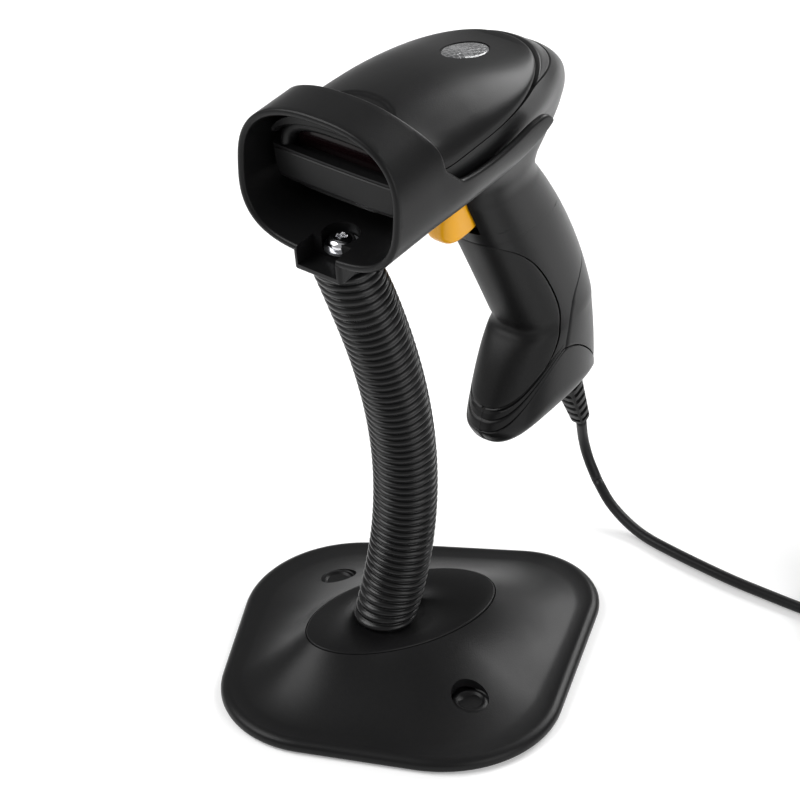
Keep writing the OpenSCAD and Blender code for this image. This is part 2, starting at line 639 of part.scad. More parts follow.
module trigger_spring() {
    color(steel) in_head() at_pin() for (k = [-1:1]) translate([0, 0, 1.3 * k])
        rotate_extrude() translate([2.5, 0]) circle(d = 1.1, $fn = 16);
}

// ---- inside the head ----
frame_z = -9;
frame_t = 2;
board_z = -1;
board_t = 1.6;
post_xy = [[-17, 40], [17, 40], [-15, 81], [15, 81]];
ledge_x = head_x - 8;
ledge_low = frame_z + frame_t - 0.4;
module inner_plan(d, low, high) {
    pts = both([for (k = [0:14]) let (p = slice_pt(frame_z, mix(-90, 90, k / 14), d))
        [p[0], clamp(p[1], low, high), 0]]);
    polygon([for (p = pts) [p[0], p[1]]]);
}
module inner_frame() {
    color("#3a3b3e") in_head() difference() {
        union() {
            translate([0, 0, frame_z]) linear_extrude(frame_t)
                inner_plan(wall + 1.4, nose_y + wall + 4.2, head_back - 22);
            for (p = post_xy) translate([p[0], p[1], frame_z])
                cylinder(d = 6, h = board_z - frame_z);
            translate([-ledge_x, nose_y + wall + 0.8, ledge_low])
                cube([2 * ledge_x, window_y - nose_y - wall - 0.8, part_z - 0.2 - ledge_low]);
        }
        for (p = post_xy) translate([p[0], p[1], frame_z - 1]) cylinder(d = 2.4, h = 12);
    }
}
module main_board() {
    color(board) in_head() translate([0, 0, board_z]) difference() {
        linear_extrude(board_t) translate([-20.5, 37]) square([41, 48]);
        for (p = post_xy) translate([p[0], p[1], -1]) cylinder(d = 2.6, h = 4);
    }
}
module frame_screws() {
    color(steel) in_head() for (p = post_xy) translate([p[0], p[1], board_z + board_t]) {
        cylinder(d = 4.4, h = 1.6);
        translate([0, 0, -7]) cylinder(d = 2.3, h = 7);
    }
}
engine_y = window_y + 0.8;
module engine_chassis() {
    color("#2b2b2e") in_head() translate([-20, engine_y, frame_z + frame_t]) difference() {
        cube([40, 17, 15]);
        translate([2, -1, 2]) cube([36, 11, 14]);
        translate([20, 0, 7.5]) rotate([-90, 0, 0]) cylinder(d = 8, h = 30);
    }
}
module lens_barrel() {
    color("#151515") in_head() translate([0, engine_y + 5, frame_z + frame_t + 7.5])
        rotate([-90, 0, 0]) {
            cylinder(d = 7.9, h = 12);
            cylinder(d = 10, h = 4.9);
        }
}
module sensor_board() {
    color(board) in_head() translate([-16, engine_y + 17, frame_z + frame_t]) cube([32, 1.6, 14]);
}
module light_board() {
    color(board) in_head() translate([-18, engine_y, frame_z + frame_t + 2]) {
        cube([36, 1.6, 5]);
        for (x = [4, 10, 23, 29]) translate([x, -0.6, 1.2]) cube([3, 0.6, 2.6]);
    }
}
module fold_mirror() {
    color("#dfe4e8") in_head() translate([-17, engine_y + 10, frame_z + frame_t + 13])
        rotate([20, 0, 0]) translate([0, -1.2, 0]) cube([34, 1, 3]);
}
module beeper() {
    color("#101010") in_head() translate([10, 70, board_z + board_t]) difference() {
        cylinder(d = 9, h = 4.5);
        translate([0, 0, 3.5]) cylinder(d = 2, h = 2);
    }
}

// ---- inside the handle ----
handle_lean = 21;
module in_handle() {
    translate([0, 80, frame_z - 2.5]) rotate([handle_lean, 0, 0]) children();
}
stem_len = root_drop + grip_len - 38;
module handle_board() {
    color(board) in_head() in_handle() difference() {
        translate([-9, 0, -stem_len]) cube([18, 1.6, stem_len]);
        for (z = [-20, 25 - stem_len]) translate([6, -1, z]) rotate([-90, 0, 0]) cylinder(d = 2.6, h = 4);
    }
}
module trigger_switch() {
    color("#151515") in_head() in_handle() translate([-6.4, -6.5, -45]) {
        cube([12.8, 6.5, 6]);
        translate([5.4, -1.6, 2]) cube([2, 1.8, 2]);
    }
}
module cable_socket() {
    color("#202022") in_head() in_handle() translate([-5.7, -9.1, -stem_len + 4]) difference() {
        cube([11.4, 9, 11]);
        translate([1.1, 1.1, -1]) cube([9.2, 6.8, 10]);
    }
}
module inner_plug() {
    color("#d8dde0") in_head() in_handle() translate([-4.4, -7.8, -stem_len - 3]) cube([8.8, 6.4, 14]);
}

// ---- cable ----
relief_d = 10;
module relief_axis() {
    translate([0, relief_y, foot_z]) rotate([18, 0, 0]) children();
}
relief_ribs = 6;
relief_pitch = relief_len / (relief_ribs + 1);
function relief_r(u) = mix(relief_d / 2, cable_d / 2 + 1, u / relief_len);
module strain_relief() {
    color(black) in_head() relief_axis() rotate([180, 0, 0]) rotate_extrude() polygon(concat(
        [[0, -9], [relief_r(0) - 1, -9]],
        [for (k = [0:relief_ribs - 1], e = [0, 1, 2, 3]) let (u = k * relief_pitch + 1.5)
            [relief_r(u) - (e == 0 || e == 3 ? 1 : 0),
             u + (e < 2 ? 0 : relief_pitch * 0.6) + (e == 1 ? 0.3 : e == 2 ? -0.3 : 0)]],
        [[relief_r(relief_len) , relief_len], [0, relief_len]]));
}
relief_end = let (c = cos(18), s = sin(18))
    to_world([0, relief_y + s * relief_len, foot_z - c * relief_len]);
desk_z = cable_d / 2 + 0.1;
relief_dir = unit(relief_end - to_world([0, relief_y, foot_z]));
cable_route = [relief_end, [-41, 116, 31], [-39, 117.5, 22], [-33.5, 118, 14.5], [-25.5, 118.5, 8], [-15.5, 119.5, 4], [-5, 121, desk_z],
               [8, 123.5, desk_z], [22, 127, desk_z], [36, 131, desk_z], [50, 136, desk_z],
               [62, 140.5, desk_z], [73.5, 145.2, desk_z]];
// points on a smooth curve through the route, steps between each pair
function spline(r, steps) =
    let (n = len(r) - 1)
    concat([for (i = [0:n - 1], k = [0:steps - 1])
        let (a = r[max(i - 1, 0)], b = r[i], c = r[i + 1], d = r[min(i + 2, n)], u = k / steps)
        0.5 * (2 * b + (c - a) * u + (2 * a - 5 * b + 4 * c - d) * u * u
            + (3 * b - a - 3 * c + d) * u * u * u)], [r[n]]);
cable_path = spline(cable_route, 2);
module cable(from, to) {
    color(black) skin([for (i = [from:to])
        circle_on(cable_path[i], i == 0 ? relief_dir : frame_at(cable_path, i), cable_d / 2, 8,
                  [0.3, 0.2, 1])]);
}
module cable_head() { cable(0, 6); }
module cable_stand() { cable(6, len(cable_path) - 1); }
coil_mid = [83, 177.6];
coil_r = 23.1;
coil_wide = 4;
coil_high = 4;
tie_t = 0.8;
tie_w = 10;
module at_coil() {
    translate([coil_mid[0], coil_mid[1], tie_t + 0.1]) children();
}
module cable_coil() {
    color(black) at_coil() rotate_extrude()
        translate([coil_r - coil_wide * cable_d / 2, 0])
            square([coil_wide * cable_d, coil_high * cable_d]);
}
module coil_tie() {
    bow = pow(tie_w / 2, 2) / (2 * coil_r - coil_wide * cable_d);
    w = coil_wide * cable_d + 0.3 + bow;
    h = coil_high * cable_d + 0.2;
    color(dark) at_coil() rotate([0, 0, 150]) translate([coil_r - bow / 2, tie_w / 2, -0.1])
        rotate([90, 0, 0]) linear_extrude(tie_w) difference() {
            translate([-w / 2 - tie_t, -tie_t]) square([w + 2 * tie_t, h + 2 * tie_t]);
            translate([-w / 2, 0]) square([w, h]);
        }
}
module at_plug() {
    translate([coil_mid[0] + 33, coil_mid[1] + 10, 4]) rotate([-90, 0, 0]) children();
}
module usb_body() {
    color(black) at_plug() {
        translate([-8, -4, 10]) cube([16, 8, 22]);
        cylinder(d1 = 5.8, d2 = 7.6, h = 10);
    }
}
module usb_shell() {
    color(steel) at_plug() translate([-6, -2.25, 32]) difference() {
        cube([12, 4.5, 12]);
        translate([0.4, 0.4, 1]) cube([11.2, 3.7, 12]);
        translate([2.2, -1, 6]) cube([2, 7, 2.4]);
        translate([7.8, -1, 6]) cube([2, 7, 2.4]);
    }
}

base_cover();
base_trim();
ballast_plate();
anti_slip_mat();
neck_nut();
neck_spacer();
lower_ferrule();
neck_core();
neck_sleeve();
upper_ferrule();
cup();
cup_screw();
cup_washer();
top_cover();
cover_gasket();
rear_bumper();
housing_left();
housing_right();
exit_window();
lamp_window();
light_pipe();
grip_pad();
spine_cover();
foot_cap();
trigger();
trigger_pin();
trigger_spring();
trigger_switch();
inner_frame();
main_board();
engine_chassis();
fold_mirror();
lens_barrel();
sensor_board();
light_board();
beeper();
frame_screws();
handle_board();
cable_socket();
inner_plug();
strain_relief();
cable_head();
cable_stand();
cable_coil();
coil_tie();
usb_body();
usb_shell();
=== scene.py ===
import math
import bmesh
import bpy
import numpy as np
from mathutils import Matrix, Vector
from mathutils.geometry import delaunay_2d_cdt


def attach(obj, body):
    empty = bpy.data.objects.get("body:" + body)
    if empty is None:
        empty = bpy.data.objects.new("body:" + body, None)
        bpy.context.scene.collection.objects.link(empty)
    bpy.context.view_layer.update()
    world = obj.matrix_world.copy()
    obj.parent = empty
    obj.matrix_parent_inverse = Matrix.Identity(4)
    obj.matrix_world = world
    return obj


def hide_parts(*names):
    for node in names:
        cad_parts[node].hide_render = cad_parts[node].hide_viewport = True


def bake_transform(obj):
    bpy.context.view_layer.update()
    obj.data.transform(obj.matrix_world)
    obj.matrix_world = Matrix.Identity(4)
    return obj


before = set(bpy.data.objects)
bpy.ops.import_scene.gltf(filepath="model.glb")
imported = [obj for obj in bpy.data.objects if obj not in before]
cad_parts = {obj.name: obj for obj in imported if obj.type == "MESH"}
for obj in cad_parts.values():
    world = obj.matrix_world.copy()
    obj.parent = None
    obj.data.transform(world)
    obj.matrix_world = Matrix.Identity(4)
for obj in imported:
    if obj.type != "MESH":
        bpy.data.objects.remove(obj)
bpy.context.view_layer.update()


# ---------------------------------------------------------------- camera
# A long lens looks down on the scanner from its front right, so that the hood,
# the right flank of the head and the domed base all show.
camera = bpy.data.objects.new("camera", bpy.data.cameras.new("camera"))
bpy.context.collection.objects.link(camera)
camera.data.lens = 115.58
camera.data.sensor_width = 36
camera.data.clip_start = 0.02
camera.location = (0.61581, -0.41747, 0.59946)
look_right = np.array([0.5616, 0.8274, 0.0])
look_up = np.array([-0.4523, 0.3070, 0.8373])
look_back = np.cross(look_right, look_up)
camera.rotation_mode = "QUATERNION"
look_axes = np.array([look_right, look_up, look_back]).T
camera.rotation_quaternion = Matrix(look_axes.tolist()).to_quaternion()
bpy.context.scene.camera = camera
bpy.context.scene.view_settings.view_transform = "Standard"


# ---------------------------------------------------------------- cable
# One round black PVC cable of 4.2 mm. It leaves the ribbed strain relief in the foot of
# the handle, drops to the desk, runs off to the right, and its spare length is wound
# into a coil of four layers with the USB plug lying beside it.
def length_of(path):
    """Sum of the distances between the points of a path."""
    return float(np.linalg.norm(np.diff(path, axis=0), axis=1).sum())


def resampled(points, count):
    """Points at an even spacing along the line through the given points."""
    run = np.r_[0, np.cumsum(np.linalg.norm(np.diff(points, axis=0), axis=1))]
    even = np.linspace(0, run[-1], count)
    return np.stack([np.interp(even, run, column) for column in points.T], 1)


def smooth_path(points, spacing):
    """Catmull-Rom curve through the points, resampled at an even spacing in metres."""
    p = np.asarray(points, float)
    q = np.vstack([2 * p[0] - p[1], p, 2 * p[-1] - p[-2]])
    u = np.linspace(0, 1, 24, endpoint=False)[:, None]
    rows = [0.5 * (2 * b + (c - a) * u + (2 * a - 5 * b + 4 * c - d) * u ** 2
                   + (3 * b - a - 3 * c + d) * u ** 3)
            for a, b, c, d in zip(q[:-3], q[1:-2], q[2:-1], q[3:])]
    dense = np.vstack(rows + [p[-1:]])
    return resampled(dense, max(3, int(round(length_of(dense) / spacing)) + 1))


def unit(v):
    """Vectors of length 1 along the last axis."""
    return v / np.linalg.norm(v, axis=-1, keepdims=True)


def circle(sides):
    """Cosine and sine at even angles round one turn."""
    a = np.linspace(0, 2 * np.pi, sides, endpoint=False)
    return np.cos(a), np.sin(a)


def signed_power(v, n):
    """Power of the size of v with the sign of v, which turns a circle into a superellipse."""
    return np.sign(v) * np.abs(v) ** n


def rings(path, along, across, radius, sides):
    """Circles round the points of a path, square to along; radius is one value or one a point."""
    c, s = circle(sides)
    r = np.broadcast_to(radius, len(path))[:, None, None]
    up = np.cross(along, across)
    return path[:, None] + r * (c[:, None] * up[:, None] - s[:, None] * across[:, None])


def mesh_object(name, points, faces, smooth=True, weld=0.0):
    """Object from points and faces. A weld distance joins its double points, and then turns all
    faces outwards."""
    mesh = bpy.data.meshes.new(name)
    mesh.from_pydata(points.tolist(), [], faces)
    if weld:
        build = bmesh.new()
        build.from_mesh(mesh)
        bmesh.ops.remove_doubles(build, verts=build.verts, dist=weld)
        loose = [v for v in build.verts if not v.link_faces]
        bmesh.ops.delete(build, geom=loose, context="VERTS")
        bmesh.ops.recalc_face_normals(build, faces=build.faces)
        build.to_mesh(mesh)
        build.free()
    mesh.polygons.foreach_set("use_smooth", [smooth] * len(mesh.polygons))
    mesh.update()
    piece = bpy.data.objects.new(name, mesh)
    bpy.context.collection.objects.link(piece)
    return piece


def grid_mesh(name, grid, smooth=True, loop=False):
    """Object over an n by m grid of points whose rows are closed rings. A fan closes the first and
    the last row, or loop joins the last row to the first instead."""
    n, m = grid.shape[:2]
    i, j = np.meshgrid(np.arange(n if loop else n - 1), np.arange(m), indexing="ij")
    k, h = (j + 1) % m, (i + 1) % n
    faces = np.stack([i * m + j, i * m + k, h * m + k, h * m + j], -1).reshape(-1, 4).tolist()
    points = grid.reshape(-1, 3)
    if not loop:
        points = np.vstack([points, grid[0].mean(0), grid[-1].mean(0)])
        first, last = n * m, n * m + 1
        faces += [[(q + 1) % m, q, first] for q in range(m)]
        faces += [[(n - 1) * m + q, (n - 1) * m + (q + 1) % m, last] for q in range(m)]
    return mesh_object(name, points, faces, smooth)


def round_tube(name, path, sides):
    """The cable's circle carried along a path."""
    along = unit(np.gradient(path, axis=0))
    across = unit(np.cross(along, (0.3, 0.2, 1.0)))
    return grid_mesh(name, rings(path, along, across, cable_r, sides))


cable_r = 0.0021
relief_end = np.array([-38.87, 112.79, 42.32]) / 1000
head_route = np.array([[-41, 116, 31], [-39, 117.5, 22], [-33.5, 118, 14.5]]) / 1000
desk_route = np.array([[-33.5, 118, 14.5], [-25.5, 118.5, 8], [-15.5, 119.5, 4], [-5, 121, 2.2],
                       [8, 123.5, 2.2], [22, 127, 2.2], [36, 131, 2.2], [50, 136, 2.2],
                       [62, 140.5, 2.2], [73.5, 145.2, 2.2], [84, 147.8, 2.6]]) / 1000
coil_mid = np.array([0.083, 0.1776])
coil_inner, coil_outer = 0.0168, 0.0294
lead_angle = math.radians(-68)


def coil_path():
    """Spirals in and out by one diameter a turn, three turns a layer, and climbs one diameter in a
    sixth of a turn at the end of each layer; then it runs down outside the coil to the plug."""
    pitch, turn, layers = 2 * cable_r, 2 * math.pi, 4
    knots = [(0.0, coil_outer, 0.0030)]
    for layer in range(layers):
        theta, _, z = knots[-1]
        end = coil_outer if layer % 2 else coil_inner
        knots.append((theta + 3 * turn, end, z))
        if layer < layers - 1:
            knots.append((theta + 3 * turn + turn / 6, end, z + pitch))
    stop = knots[-1][0]
    knots += [(stop + more, r, z) for more, r, z in
              [(2.4, 0.0311, 0.0156), (3.4, 0.0340, 0.0150), (4.4, 0.0345, 0.0072),
               (4.64, 0.0345, 0.0052)]]
    theta, radius, height = np.array(knots).T
    s = np.arange(0, theta[-1], turn / 48)
    r, z = np.interp(s, theta, radius), np.interp(s, theta, height)
    a = lead_angle + s
    return np.stack([coil_mid[0] + r * np.cos(a), coil_mid[1] + r * np.sin(a), z], 1)


plug_start = np.array([0.116, 0.1876, 0.004])
head_path = smooth_path(np.vstack([relief_end, head_route]), 0.0024)
plug_lead = np.array([0.116, 0.185, 0.0042])
tail_points = smooth_path(np.vstack([desk_route, coil_path(), plug_lead, plug_start]), 0.0026)


def add_node(tree, kind, inputs=None, **settings):
    """Shader node of a kind, with its settings first and then its input values."""
    node = tree.nodes.new("ShaderNode" + kind)
    for label, value in settings.items():
        setattr(node, label, value)
    for label, value in (inputs or {}).items():
        node.inputs[label].default_value = value
    return node


def wire(tree, *links):
    """Links a tree by rows of (node, output, node, input)."""
    for source, out, target, into in links:
        tree.links.new(source.outputs[out], target.inputs[into])


def new_material(name, inputs):
    """Material, its node tree, and its Principled shader with the given input values."""
    m = bpy.data.materials.new(name)
    m.use_nodes = True
    shader = m.node_tree.nodes["Principled BSDF"]
    for label, value in inputs.items():
        shader.inputs[label].default_value = value
    return m, m.node_tree, shader


def cable_material():
    """Black PVC: a faint orange-peel bump, and dust that dulls it in patches."""
    m, tree, shader = new_material("cable_pvc", {"Base Color": (0.006, 0.006, 0.0065, 1),
                                                 "Specular IOR Level": 0.24})
    place = add_node(tree, "TexCoord")
    peel = add_node(tree, "TexNoise", {"Scale": 900})
    bump = add_node(tree, "Bump", {"Strength": 0.12, "Distance": 0.0002})
    dust = add_node(tree, "TexNoise", {"Scale": 60})
    gloss = add_node(tree, "MapRange", {"To Min": 0.36, "To Max": 0.52})
    wire(tree, (place, "Object", peel, "Vector"), (place, "Object", dust, "Vector"),
         (peel, "Fac", bump, "Height"), (dust, "Fac", gloss, "Value"),
         (gloss, "Result", shader, "Roughness"), (bump, "Normal", shader, "Normal"))
    return m


pvc = cable_material()


def finish(piece, material, slot, *replaced):
    """Gives a piece its material and hides the CAD nodes that it stands for; slot is not used."""
    piece.data.materials.clear()
    piece.data.materials.append(material)
    if replaced:
        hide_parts(*replaced)
    return piece


cable_drop = finish(round_tube("cable_drop", head_path, 14), pvc, "black_pvc", "cable_head")
cable_run = finish(round_tube("cable_run", tail_points, 12), pvc, "black_pvc",
                   "cable_stand", "cable_coil")


def plug_rows():
    """Rounded rectangles along the grip, which swells from the cable's sleeve. A profile row is
    (distance along the plug, half width, half height) in millimetres."""
    profile = [(0, 2.7, 2.7), (0.3, 2.9, 2.9), (2, 3, 3), (2.2, 2.6, 2.6), (3.2, 2.6, 2.6),
               (3.4, 3.2, 3.2), (5.2, 3.3, 3.3), (5.4, 2.9, 2.9), (6.4, 2.9, 2.9), (6.6, 3.5, 3.4),
               (9, 3.8, 3.6), (10, 6.4, 3.75), (10.8, 7.6, 3.9), (12.5, 8, 4), (17, 7.8, 3.9),
               (22, 7.7, 3.9), (27, 7.9, 4), (31, 8, 4), (31.7, 7.8, 3.85), (32, 7.4, 3.5)]
    c, s = (signed_power(v, 0.55) for v in circle(64))
    x, y, z = 116, 187.6, 4
    return np.array([np.stack([x + wide * c, np.full(64, y + u), z + high * s], 1)
                     for u, wide, high in profile]) / 1000


plug_grip = grid_mesh("plug_grip", plug_rows())
plug_grip.data.set_sharp_from_angle(angle=math.radians(45))
finish(plug_grip, pvc, "black_abs", "usb_body")
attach(plug_grip, "stand")
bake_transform(cable_drop)
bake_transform(cable_run)


# ---------------------------------------------------------------- base
# The foot is a four-sided dome moulded in black ABS with a fine spark grain, with a steel
# ballast plate and a rubber mat under it. Two deep pockets take the desk screws.
def shader_group(name, inputs, outputs):
    """Node group with its sockets, and its input and output nodes. Color is a colour socket,
    Normal is a vector socket, and all others are plain numbers."""
    tree = bpy.data.node_groups.new(name, "ShaderNodeTree")
    kinds = {"Color": "NodeSocketColor", "Normal": "NodeSocketVector"}
    for label, value in inputs.items():
        kind = kinds.get(label, "NodeSocketFloat")
        socket = tree.interface.new_socket(name=label, in_out="INPUT", socket_type=kind)
        socket.default_value = value
    for label in outputs:
        kind = kinds.get(label, "NodeSocketFloat")
        tree.interface.new_socket(name=label, in_out="OUTPUT", socket_type=kind)
    return tree, tree.nodes.new("NodeGroupInput"), tree.nodes.new("NodeGroupOutput")


def grain_group():
    """Moulded grain: a fine two-scale noise for the normal, and broad patches of gloss."""
    tree, ins, outs = shader_group(
        "moulded_grain", {"Grain": 1500.0, "Depth": 0.3, "Gloss Low": 0.35, "Gloss High": 0.45},
        ["Roughness", "Normal"])
    place = add_node(tree, "TexCoord")
    fine = add_node(tree, "TexNoise", {"Detail": 3, "Roughness": 0.65})
    patch = add_node(tree, "TexNoise", {"Scale": 26, "Detail": 4})
    bump = add_node(tree, "Bump", {"Distance": 0.00012})
    gloss = add_node(tree, "MapRange", {"From Min": 0.3, "From Max": 0.7})
    wire(tree, (place, "Object", fine, "Vector"), (place, "Object", patch, "Vector"),
         (ins, "Grain", fine, "Scale"), (ins, "Depth", bump, "Strength"),
         (fine, "Fac", bump, "Height"), (patch, "Fac", gloss, "Value"),
         (ins, "Gloss Low", gloss, "To Min"), (ins, "Gloss High", gloss, "To Max"),
         (gloss, "Result", outs, "Roughness"), (bump, "Normal", outs, "Normal"))
    return tree


def dust_group():
    """Fine pale dust in specks over a base colour; Amount sets how much of it lies there."""
    tree, ins, outs = shader_group("fine_dust", {"Color": (0.02, 0.02, 0.02, 1), "Amount": 0.04},
                                   ["Color"])
    place = add_node(tree, "TexCoord")
    speck = add_node(tree, "TexNoise", {"Scale": 700})
    cloud = add_node(tree, "TexNoise", {"Scale": 14})
    both = add_node(tree, "Math", operation="MULTIPLY")
    amount = add_node(tree, "Math", operation="MULTIPLY")
    blend = add_node(tree, "Mix", {"B": (0.32, 0.31, 0.3, 1)}, data_type="RGBA")
    wire(tree, (place, "Object", speck, "Vector"), (place, "Object", cloud, "Vector"),
         (speck, "Fac", both, 0), (cloud, "Fac", both, 1), (both, "Value", amount, 0),
         (ins, "Amount", amount, 1), (amount, "Value", blend, "Factor"),
         (ins, "Color", blend, "A"), (blend, "Result", outs, "Color"))
    return tree


moulded_grain, fine_dust = grain_group(), dust_group()


def moulded(name, color, grain, depth, gloss, dust, metallic=0.0, coat=0.0, shine=0.17):
    """Principled plastic, rubber or metal with the moulded grain and the dust in it."""
    m, tree, shader = new_material(name, {"Metallic": metallic, "Coat Weight": coat,
                                          "Specular IOR Level": 0.5 if metallic else shine})
    grains = add_node(tree, "Group", node_tree=moulded_grain, inputs={
        "Grain": grain, "Depth": depth, "Gloss Low": gloss[0], "Gloss High": gloss[1]})
    dusty = add_node(tree, "Group", node_tree=fine_dust, name="dust", inputs={
        "Color": (*color, 1), "Amount": dust})
    wire(tree, (dusty, "Color", shader, "Base Color"), (grains, "Roughness", shader, "Roughness"),
         (grains, "Normal", shader, "Normal"))
    return m


def carved(piece, cutters, add=()):
    """Joins the pieces in add to a piece, cuts the cutters out of it, and keeps the result as its
    mesh."""
    for tool, how in [(t, "UNION") for t in add] + [(t, "DIFFERENCE") for t in cutters]:
        step = piece.modifiers.new(how, "BOOLEAN")
        step.operation, step.object, step.solver = how, tool, "EXACT"
    bpy.context.view_layer.update()
    whole = piece.evaluated_get(bpy.context.evaluated_depsgraph_get())
    mesh = bpy.data.meshes.new_from_object(whole)
    piece.modifiers.clear()
    piece.data = mesh
    for tool in [*cutters, *add]:
        bpy.data.objects.remove(tool)
    mesh.set_sharp_from_angle(angle=math.radians(38))


def turned(name, profile, x, y, sides):
    """Solid of revolution about the vertical through (x, y): profile rows are (radius, height)."""
    c, s = circle(sides)
    across = unit(np.array([-0.9, 0.3, 0.0]))
    ring = c[:, None] * across + s[:, None] * np.cross((0, 0, 1), across)
    p = np.array(profile)[:, :, None, None]
    piece = grid_mesh(name, np.array([x, y, 0]) + p[:, 1] * (0, 0, 1) + p[:, 0] * ring)
    piece.data.set_sharp_from_angle(angle=math.radians(38))
    return piece


abs_base = moulded("abs_base", (0.0052, 0.0052, 0.0055), grain=1700, depth=0.35,
                   gloss=(0.32, 0.42), dust=0.012)
base_corner = np.array([[0, -84], [87, -3], [0, 103], [-87, -3]], float)
base_round = np.array([37, 45, 30, 45], float)
trim_mid, trim_turn = np.array([-0.4, 1.5]), math.radians(-5.8)
bearings = np.linspace(-np.pi, np.pi, 320, endpoint=False)


def base_outline(inset):
    """Rounded four-sided outline moved inwards: arcs about fixed centres with straight sides
    between, read off at even bearings round the middle of the trim."""
    points = []
    for v, a, b, r in zip(base_corner, np.roll(base_corner, 1, 0), np.roll(base_corner, -1, 0),
                          base_round):
        p, q = unit(a - v), unit(b - v)
        half = math.acos(float(p @ q)) / 2
        c = v + unit(p + q) * r / math.sin(half)
        mid, sweep = math.atan2(*(v - c)[::-1]), math.pi / 2 - half
        t = np.linspace(mid - sweep, mid + sweep, 40)
        points.append(c + (r - inset) * np.stack([np.cos(t), np.sin(t)], 1))
    rel = resampled(np.vstack([*points, points[0][:1]]), 3000) - trim_mid
    bearing, reach = np.arctan2(rel[:, 1], rel[:, 0]), np.linalg.norm(rel, axis=1)
    order = np.argsort(bearing)
    return np.interp(bearings, bearing[order], reach[order], period=2 * np.pi)


def trim_reach(rx, ry):
    """Distance from the middle of the trim to its oval edge, at each bearing."""
    t = bearings - trim_turn
    return 1 / np.sqrt((np.cos(t) / rx) ** 2 + (np.sin(t) / ry) ** 2)


def base_ring(reach, z):
    """Ring of points at a reach (mm) from the middle of the trim and a height (mm)."""
    xy = trim_mid + reach[:, None] * np.stack([np.cos(bearings), np.sin(bearings)], 1)
    return np.column_stack([xy, np.broadcast_to(z, len(bearings))]) / 1000


def dome_rows(inset, drop, steps, grow=0.0):
    """Rings up the dome: the outline turns into the trim's oval while the height rises as s to the
    1.65."""
    s = np.linspace(0, 1, steps)
    low, high = base_outline(inset), trim_reach(21 + grow, 38 + grow)
    z = 4.6 + 16.4 * s ** 1.65 + 0.7 * np.clip(1 - 6 * s, 0, 1) - drop
    return [base_ring(low * (1 - k) + high * k, h) for k, h in zip(s, z)]


rim = [(2.4, 0.8), (1.2, 0.8), (0.7, 0.9), (0.25, 1.3), (0.02, 1.9), (0, 2.6), (0.08, 3.3),
       (0.35, 3.9), (0.8, 4.4), (1.4, 4.8), (2.2, 5.15)]
base_shell = grid_mesh("base_dome", np.array(
    [base_ring(trim_reach(18.6, 35.6), 16.7), *dome_rows(5.4, 2.4, 12, -2.4)[::-1],
     base_ring(base_outline(2.4), 2.2), *[base_ring(base_outline(d), z) for d, z in rim],
     *dome_rows(3, 0, 46), base_ring(trim_reach(20.9, 37.9), 20.7),
     base_ring(trim_reach(20.8, 37.8), 19.1)]))
desk_holes = np.array([[-43, 1.5], [43, 1.5]]) / 1000
pocket_profile = [(0.0062, 0.0078), (0.0068, 0.0084), (0.0068, 0.03)]
pockets = [turned(f"pocket_{k}", pocket_profile, x, y, 72) for k, (x, y) in enumerate(desk_holes)]
carved(base_shell, pockets)
finish(base_shell, abs_base, "black_abs", "base_cover")
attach(base_shell, "stand")

# A moulded boss stands in each pocket, with a countersunk seat for the screw.
boss_profile = [(0.0026, 0.0062), (0.0066, 0.0062), (0.0066, 0.0080), (0.0060, 0.0084),
                (0.0052, 0.0084), (0.0050, 0.0082), (0.0028, 0.0070)]
for k, (x, y) in enumerate(desk_holes):
    boss = turned(f"screw_boss_{k}", boss_profile, x, y, 56)
    finish(boss, abs_base, "black_abs")
    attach(boss, "stand")


# ---------------------------------------------------------------- trim
# A flat oval plate, moulded apart, covers the ballast screws and rings the foot of the neck.
# Its edge stands a little proud of the dome, with a fine gap round it.
trim_plate = grid_mesh("trim_plate", np.array(
    [base_ring(trim_reach(9.6, 9.6), 19.2), base_ring(trim_reach(20.3, 37.3), 19.2)]
    + [base_ring(trim_reach(20.62 - d, 37.62 - d), z) for d, z in
       [(0.1, 19.2), (0, 19.5), (0, 20.9), (0.06, 21.2), (0.25, 21.42), (0.55, 21.5)]]
    + [base_ring(trim_reach(8.8, 8.8), 21.5), base_ring(trim_reach(8.7, 8.7), 20.9)]))
finish(trim_plate, abs_base, "dark_trim", "base_trim")
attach(trim_plate, "stand")


# ---------------------------------------------------------------- gooseneck
# A flexible steel core inside a corrugated sleeve of black PVC with 55 round ribs. It
# stands square on the trim plate, leans back and comes forward under the cup.
head_pos = np.array([10, -37.6, 212.8])
head_turn, head_tilt = math.radians(18), math.radians(6.5)
head_axes = (np.array([[math.cos(head_turn), -math.sin(head_turn), 0],
                       [math.sin(head_turn), math.cos(head_turn), 0], [0, 0, 1]])
             @ np.array([[1, 0, 0], [0, math.cos(head_tilt), -math.sin(head_tilt)],
                         [0, math.sin(head_tilt), math.cos(head_tilt)]]))
neck_x, neck_y = -0.3, 9
neck_ribs = 55


def in_head(points):
    """Turns points in millimetres from the middle of the cup's rim into metres in the frame."""
    return (np.asarray(points, float) @ head_axes.T + head_pos) / 1000


def ease(s):
    """Smooth step from 0 to 1."""
    s = np.clip(s, 0, 1)
    return s * s * (3 - 2 * s)


def neck_middle(s):
    """Cubic Bezier from the trim plate up to the collar under the cup."""
    end = in_head([neck_x, neck_y, -25.4 - 6.4 - 1.4]) * 1000
    foot = np.array([-1.1, -5.6, 21.8])
    knots = [foot, np.array([0.9, 11.0, foot[2] * 2 / 3 + end[2] / 3]),
             end + [-1.3, 24.1, -54.8], end]
    s = np.asarray(s)[:, None]
    return ((1 - s) ** 3 * knots[0] + 3 * (1 - s) ** 2 * s * knots[1]
            + 3 * (1 - s) * s ** 2 * knots[2] + s ** 3 * knots[3]) / 1000


